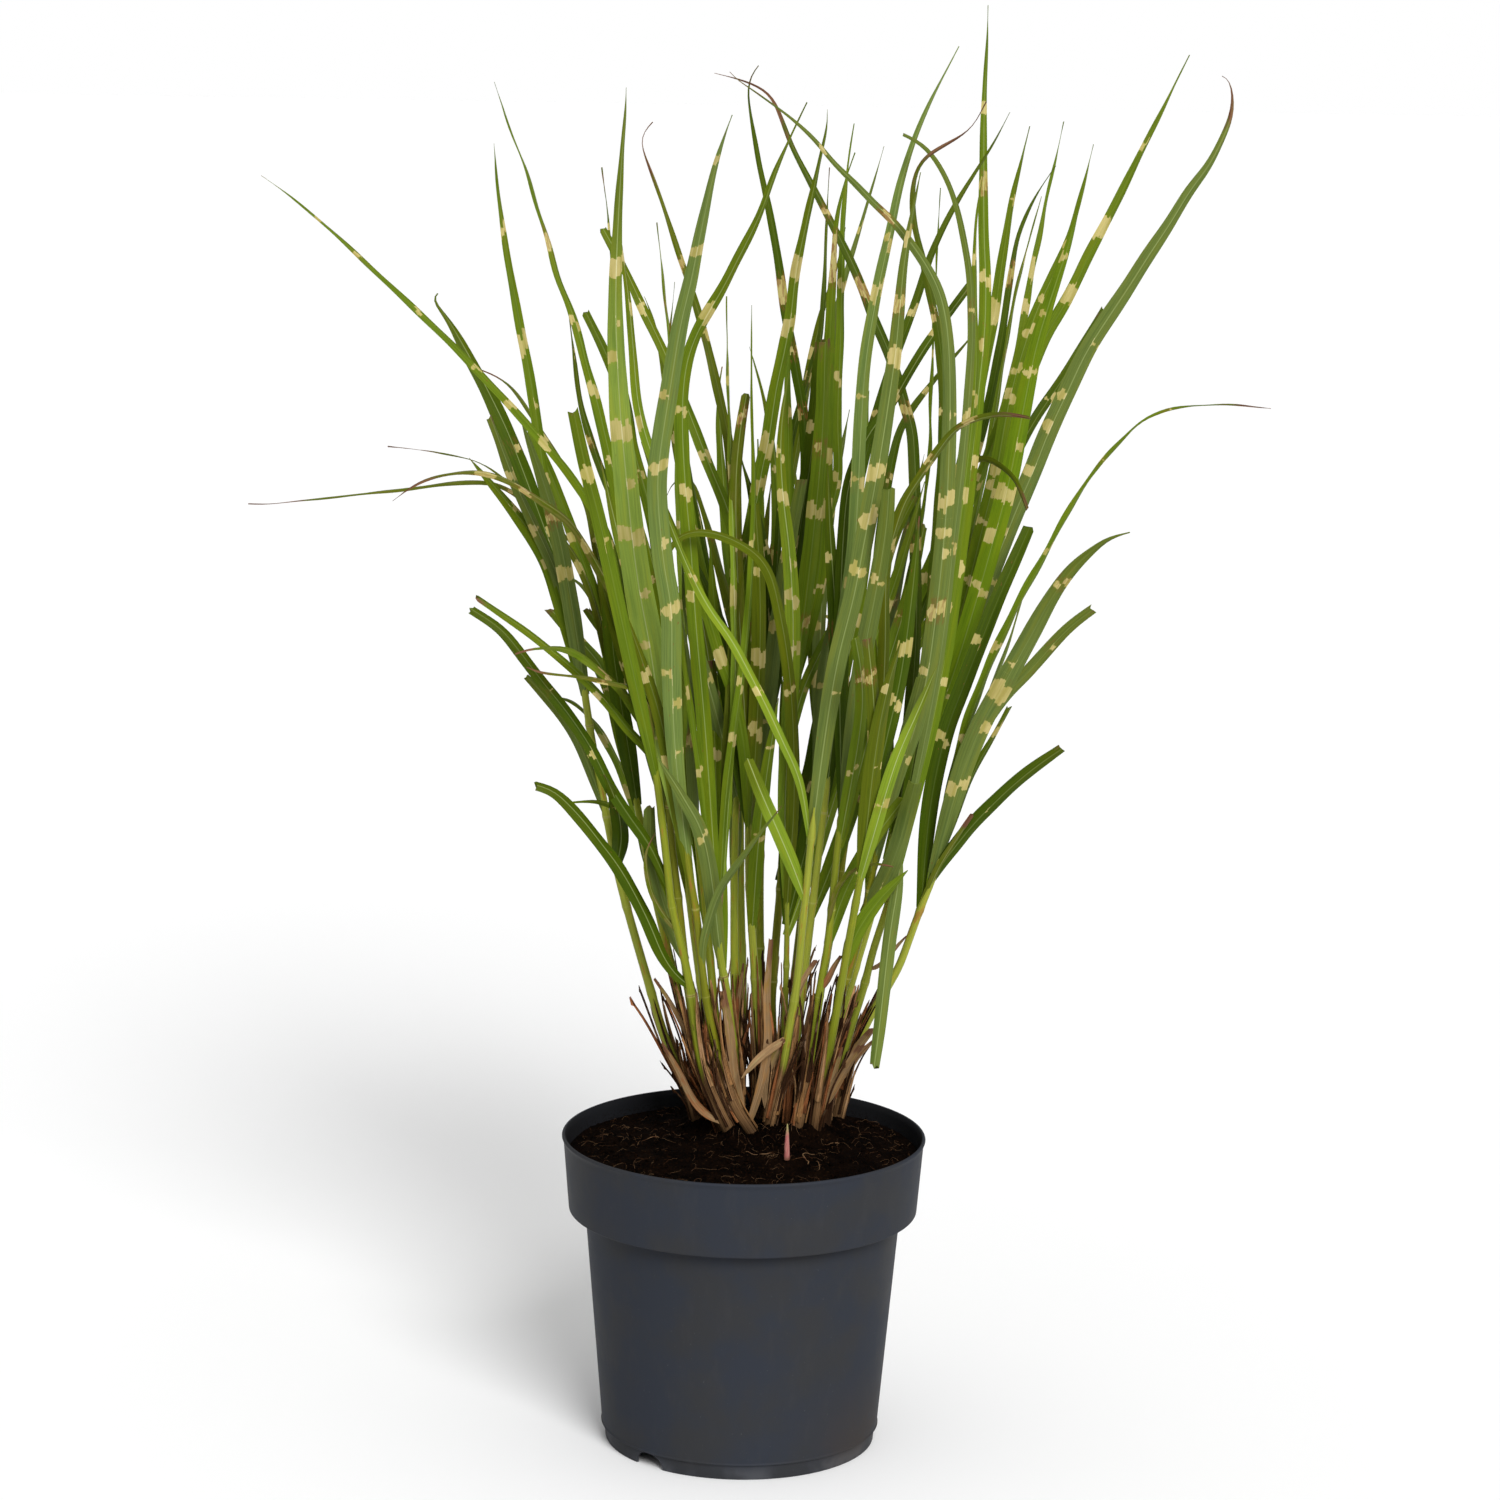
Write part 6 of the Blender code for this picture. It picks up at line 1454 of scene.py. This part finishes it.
def pot_material():
    """Dark grey satin plastic: faint mottling, rubbed streaks, dust specks, a stain low on the right, and
    painted shade darkening the inner wall.
    """
    g = Graph("pot plastic")
    place = g.position()
    x, y, z = g.parts(place)
    clouds = g.noise(place, 22.0, 4.0, 0.6)
    rubs = g.noise(g.stretched(place, (90, 90, 26)), 1.0, 4.0, 0.65)
    grain = g.noise(place, 1500.0)
    dust = g.noise(place, 700.0, 2.0, 0.7)
    color = g.mix(g.step(clouds, 0.35, 0.65), POT_SHADE, POT_BLUE)
    color = g.laid(color, POT_RUBBED, 0.3, rubs, 0.5, 0.75)
    color = g.laid(color, POT_DUST, 0.35, dust, 0.7, 0.78)
    low_right = g.times(g.step(z, 0.07, 0.004), g.step(x, 0.02, 0.08))
    stain = g.times(low_right, g.step(clouds, 0.42, 0.62))
    color = g.mix(g.times(stain, 0.6), color, POT_STAIN)
    foot = g.times(g.step(z, 0.012, 0.002), g.step(clouds, 0.4, 0.6))
    color = g.mix(g.times(foot, 0.35), color, POT_DUST)
    # Painted shade: every inward-facing surface is darkened towards near black
    facing_x, facing_y, _ = g.parts(g.node("TexCoord")["Normal"])
    inside = g.step(g.plus(g.times(x, facing_x), g.times(y, facing_y)), -0.01, -0.03)
    color = g.mix(g.times(inside, 0.8), color, POT_INSIDE_SHADE)
    crumbs = g.times(g.times(inside, g.step(z, 0.191, 0.184)), g.step(dust, 0.5, 0.6))
    color = g.mix(g.times(crumbs, 0.5), color, PEAT_BROWN)
    g.bump(g.plus(g.times(grain, 0.4), g.times(rubs, 0.6)), 0.00012, 0.5)
    return g.finish(color, g.plus(0.55, g.times(g.plus(clouds, -0.5), 0.25)), 0.05)


# Pot: the same turned profile, finely rounded, with its arched notches cut through the skirt
def rounded(profile):
    """The profile with its corners rounded. Each point is (radius, height, radius of the corner)."""
    made = []
    for index, (radius, height, bend) in enumerate(profile):
        corner = Vector((radius, height))
        if not bend:
            made.append(corner)
            continue
        before = Vector(profile[index - 1][:2]) - corner
        after = Vector(profile[index + 1][:2]) - corner
        reach = min(bend, 0.45 * before.length, 0.45 * after.length)
        start, end = corner + reach * before.normalized(), corner + reach * after.normalized()
        for step in range(CORNER_STEPS + 1):
            t = step / CORNER_STEPS
            made.append((1 - t) ** 2 * start + 2 * t * (1 - t) * corner + t * t * end)
    return made


def notch_shape(number, angle):
    half = NOTCH_WIDTH / 2
    arch = [(-half, -0.002), (half, -0.002)]
    for step in range(NOTCH_STEPS + 1):
        turn = math.pi * step / NOTCH_STEPS
        height = NOTCH_STRAIGHT + (NOTCH_HEIGHT - NOTCH_STRAIGHT) * math.sin(turn)
        arch.append((half * math.cos(turn), height))
    count = len(arch)
    depths = (SKIRT_RADIUS - 4 * WALL, SKIRT_RADIUS + 4 * WALL)
    points = [(depth, across, up) for depth in depths for across, up in arch]
    faces = [tuple(reversed(range(count))), tuple(range(count, 2 * count))]
    faces += [(k, (k + 1) % count, count + (k + 1) % count, count + k) for k in range(count)]
    mesh = bpy.data.meshes.new(f"notch shape {number}")
    mesh.from_pydata(points, [], faces)
    mesh.transform(Matrix.Rotation(angle, 4, "Z"))
    return linked(f"notch shape {number}", mesh)


def dress_pot(made_of):
    profile = (
        (0.0, FLOOR_TOP, 0),
        (WALL_BOTTOM_RADIUS - WALL, FLOOR_TOP, 0.002),
        (WALL_TOP_RADIUS - WALL, COLLAR_BOTTOM + WALL, 0.001),
        (*STEP_INSIDE, 0.001),
        (*RIM_INSIDE, 0.001),
        (RIM_RADIUS - LIP - 0.0009, POT_HEIGHT, 0.0005),
        (RIM_RADIUS - 0.0006, POT_HEIGHT, 0.0005),
        (RIM_RADIUS, POT_HEIGHT - 0.0011, 0.0005),
        (RIM_RADIUS - LIP, POT_HEIGHT - 0.0034, 0.0012),
        (COLLAR_BOTTOM_RADIUS, COLLAR_BOTTOM + 0.0006, 0.0004),
        (COLLAR_BOTTOM_RADIUS - 0.0006, COLLAR_BOTTOM, 0.0004),
        (WALL_TOP_RADIUS, COLLAR_BOTTOM, 0.0006),
        (WALL_BOTTOM_RADIUS, RING_HEIGHT + 0.0016, 0.0005),
        (WALL_BOTTOM_RADIUS + 0.0006, RING_HEIGHT + 0.0005, 0.0004),
        (SKIRT_RADIUS + SKIRT_FLARE, RING_HEIGHT - 0.0006, 0.0005),
        (SKIRT_RADIUS, 0.0, 0.0005),
        (SKIRT_RADIUS - WALL, 0.0, 0.0005),
        (SKIRT_RADIUS - WALL, FLOOR_BOTTOM, 0.0008),
        (0.0, FLOOR_BOTTOM, 0),
    )
    shape = bmesh.new()
    outline = [shape.verts.new((radius, 0.0, height)) for radius, height in rounded(profile)]
    edges = [shape.edges.new(pair) for pair in zip(outline, outline[1:])]
    bmesh.ops.spin(shape, geom=outline + edges, cent=(0, 0, 0), axis=(0, 0, 1), angle=math.tau,
                   steps=POT_ROUND, use_merge=True)
    bmesh.ops.remove_doubles(shape, verts=shape.verts, dist=MERGED)
    bmesh.ops.recalc_face_normals(shape, faces=shape.faces)
    mesh = bpy.data.meshes.new("pot_shell")
    shape.to_mesh(mesh)
    shape.free()
    mesh.materials.append(made_of)
    piece = linked("pot_shell", mesh)
    shapes = [notch_shape(number, math.radians(degrees)) for number, degrees in enumerate(NOTCH_ANGLES)]
    for cutter in shapes:
        cut = piece.modifiers.new(cutter.name, "BOOLEAN")
        cut.operation = "DIFFERENCE"
        cut.object = cutter
    cut_mesh = bpy.data.meshes.new_from_object(piece.evaluated_get(bpy.context.evaluated_depsgraph_get()))
    piece.modifiers.clear()
    piece.data = cut_mesh
    for cutter in shapes:
        bpy.data.objects.remove(cutter, do_unlink=True)
    cut_mesh.shade_smooth()
    cut_mesh.set_sharp_from_angle(angle=math.radians(POT_SHARP))
    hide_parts("pot")
    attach(piece, "root")


# Soil: a rough mound, with crumbs and root fibres lying on it
def rough_height(x, y):
    share = math.hypot(x, y) / RIM_RADIUS
    broad, fine, clods = (
        noise.fractal(Vector((x * scale, y * scale, level)), 1.0, 2.0, octaves)
        for scale, level, octaves in RELIEF
    )
    relief = BROAD_RELIEF * broad + FINE_RELIEF * fine + CLOD_RELIEF * max(0.0, clods - CLOD_FROM)
    nearest = min(math.hypot(x - foot[0] * MM, y - foot[1] * MM) for _, foot, *_ in SHOOTS)
    heap = HEAP * max(0.0, 1 - nearest / HEAP_REACH) * (1 + HEAP_UNEVEN * broad)
    return soil_height(x, y) + PEAT_LIFT + relief * min(1.0, 6 * (1.02 - share)) + heap


def dress_soil(materials):
    chance = random.Random(SOIL_SEED)
    skin = Skin()
    top = soil_radius(SOIL_EDGE) - GAP
    round_soil = [math.tau * k / SOIL_ROUND for k in range(SOIL_ROUND)]
    low = COLLAR_BOTTOM + 2 * WALL
    foot = SOIL_FOOT * top
    rows = [[skin.point((foot * math.cos(angle), foot * math.sin(angle), low)) for angle in round_soil]]
    for ring in range(SOIL_STEPS):
        share = 1 - ring / SOIL_STEPS
        row = []
        for angle in round_soil:
            x, y = share * top * math.cos(angle), share * top * math.sin(angle)
            row.append(skin.point((x, y, rough_height(x, y))))
        rows.append(row)
    skin.rings(rows, 0)
    for _ in range(CRUMBS):
        add_crumb(skin, chance, top)
    for _ in range(FIBRES):
        add_fibre(skin, chance, spot_on_soil(chance, top), chance.uniform(*FIBRE_LENGTH), FIBRE_RADIUS)
    for x, y, length in ROOTS:
        add_fibre(skin, chance, (x * MM, y * MM), length * MM, ROOT_RADIUS)
    piece = skin.made("peat_surface", materials, SOIL_SHARP)
    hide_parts("soil")
    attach(piece, "root")


def spot_on_soil(chance, top):
    angle, out = chance.uniform(0, math.tau), top * SOIL_SPREAD * math.sqrt(chance.uniform(0.0, 1.0))
    return out * math.cos(angle), out * math.sin(angle)


def add_crumb(skin, chance, top):
    """A lump of peat, an uneven six-pointed grain, half sunk in the mound."""
    x, y = spot_on_soil(chance, top)
    size = CRUMB_SIZE + CRUMB_MORE * chance.random() ** 3
    centre = Vector((x, y, rough_height(x, y) + CRUMB_LIFT * size))
    spin, tilt = chance.uniform(0, math.tau), chance.uniform(0, math.tau)
    turn = Matrix.Rotation(spin, 3, "Z") @ Matrix.Rotation(tilt, 3, "X")
    a, b, c, d, e, f = (
        skin.point(centre + turn @ Vector(direction) * size * chance.uniform(*CRUMB_UNEVEN))
        for direction in ((1, 0, 0), (-1, 0, 0), (0, 1, 0), (0, -1, 0), (0, 0, 1), (0, 0, -1))
    )
    for face in ((a, c, e), (c, b, e), (b, d, e), (d, a, e), (c, a, f), (b, c, f), (d, b, f), (a, d, f)):
        skin.face(face, 0)


def add_fibre(skin, chance, start, length, radius):
    """A root fibre that wanders over the peat and lifts a little off it."""
    x, y = start
    heading = chance.uniform(0, math.tau)
    curl = chance.uniform(*FIBRE_CURL)
    lift = chance.uniform(*FIBRE_LIFT)
    limit = soil_radius(SOIL_EDGE) - FIBRE_MARGIN
    rows = []
    for step in range(FIBRE_STEPS + 1):
        share = step / FIBRE_STEPS
        heading += curl + chance.uniform(*FIBRE_WANDER)
        x += length / FIBRE_STEPS * math.cos(heading)
        y += length / FIBRE_STEPS * math.sin(heading)
        out = math.hypot(x, y)
        if out > limit:
            x, y = x * limit / out, y * limit / out
        centre = Vector((x, y, rough_height(x, y) + lift * math.sin(math.pi * share) + radius))
        size = radius * (1 - FIBRE_TAPER * share)
        row = []
        for corner in range(FIBRE_ROUND):
            angle = math.tau * corner / FIBRE_ROUND
            across = math.cos(angle)
            offset = Vector((-math.sin(heading) * across, math.cos(heading) * across, math.sin(angle)))
            row.append(skin.point(centre + size * offset))
        rows.append(row)
    skin.rings(rows, 1)


# Floor, light and camera
def set_stage():
    mesh = bpy.data.meshes.new("floor")
    corners = [(x * FLOOR_HALF, y * FLOOR_HALF, 0) for x, y in ((-1, -1), (1, -1), (1, 1), (-1, 1))]
    mesh.from_pydata(corners, [], [(0, 1, 2, 3)])
    floor = linked("floor", mesh)
    g = Graph("studio floor")
    cloud = g.noise(g.position(), 0.8)
    mesh.materials.append(g.finish(g.mix(cloud, FLOOR_LOW, FLOOR_HIGH), 0.9, 0.1))
    world = bpy.data.worlds.new("studio")
    world.use_nodes = True
    nodes, links = world.node_tree.nodes, world.node_tree.links
    seen, given = nodes["Background"], nodes.new("ShaderNodeBackground")
    for background, strength in ((seen, BACKDROP), (given, WORLD_LIGHT)):
        background.inputs["Color"].default_value = (1.0, 1.0, 1.0, 1.0)
        background.inputs["Strength"].default_value = strength
    blend = nodes.new("ShaderNodeMixShader")
    links.new(nodes.new("ShaderNodeLightPath").outputs["Is Camera Ray"], blend.inputs[0])
    links.new(given.outputs[0], blend.inputs[1])
    links.new(seen.outputs[0], blend.inputs[2])
    links.new(blend.outputs[0], nodes["World Output"].inputs["Surface"])
    bpy.context.scene.world = world
    for name, origin, strength, spread in LAMPS:
        lamp = bpy.data.lights.new(name, "SUN")
        lamp.energy = strength
        lamp.angle = math.radians(spread)
        made = linked(name, lamp)
        made.location = origin
        made.rotation_euler = (-Vector(origin)).to_track_quat("-Z", "Y").to_euler()
    view = bpy.context.scene.view_settings
    view.view_transform = "Standard"
    view.look = "None"


def set_camera():
    lens = bpy.data.cameras.new("camera")
    lens.lens = LENS
    lens.sensor_width = SENSOR
    lens.clip_end = CLIP_END
    camera = linked("camera", lens)
    camera.matrix_world = (
        Matrix.Translation((CAMERA_SIDE, -VIEW_DISTANCE, VIEW_HEIGHT))
        @ Matrix.Rotation(math.pi / 2 - LOOK_DOWN, 4, "X")
        @ Matrix.Rotation(ROLL, 4, "Z")
    )
    bpy.context.scene.camera = camera


def main():
    set_camera()
    set_stage()
    dress_pot(pot_material())
    dress_soil([peat_material(), root_material()])
    dress_shoots([blade_material(), culm_material(), husk_material()])
    dress_new_shoot(young_material())


main()
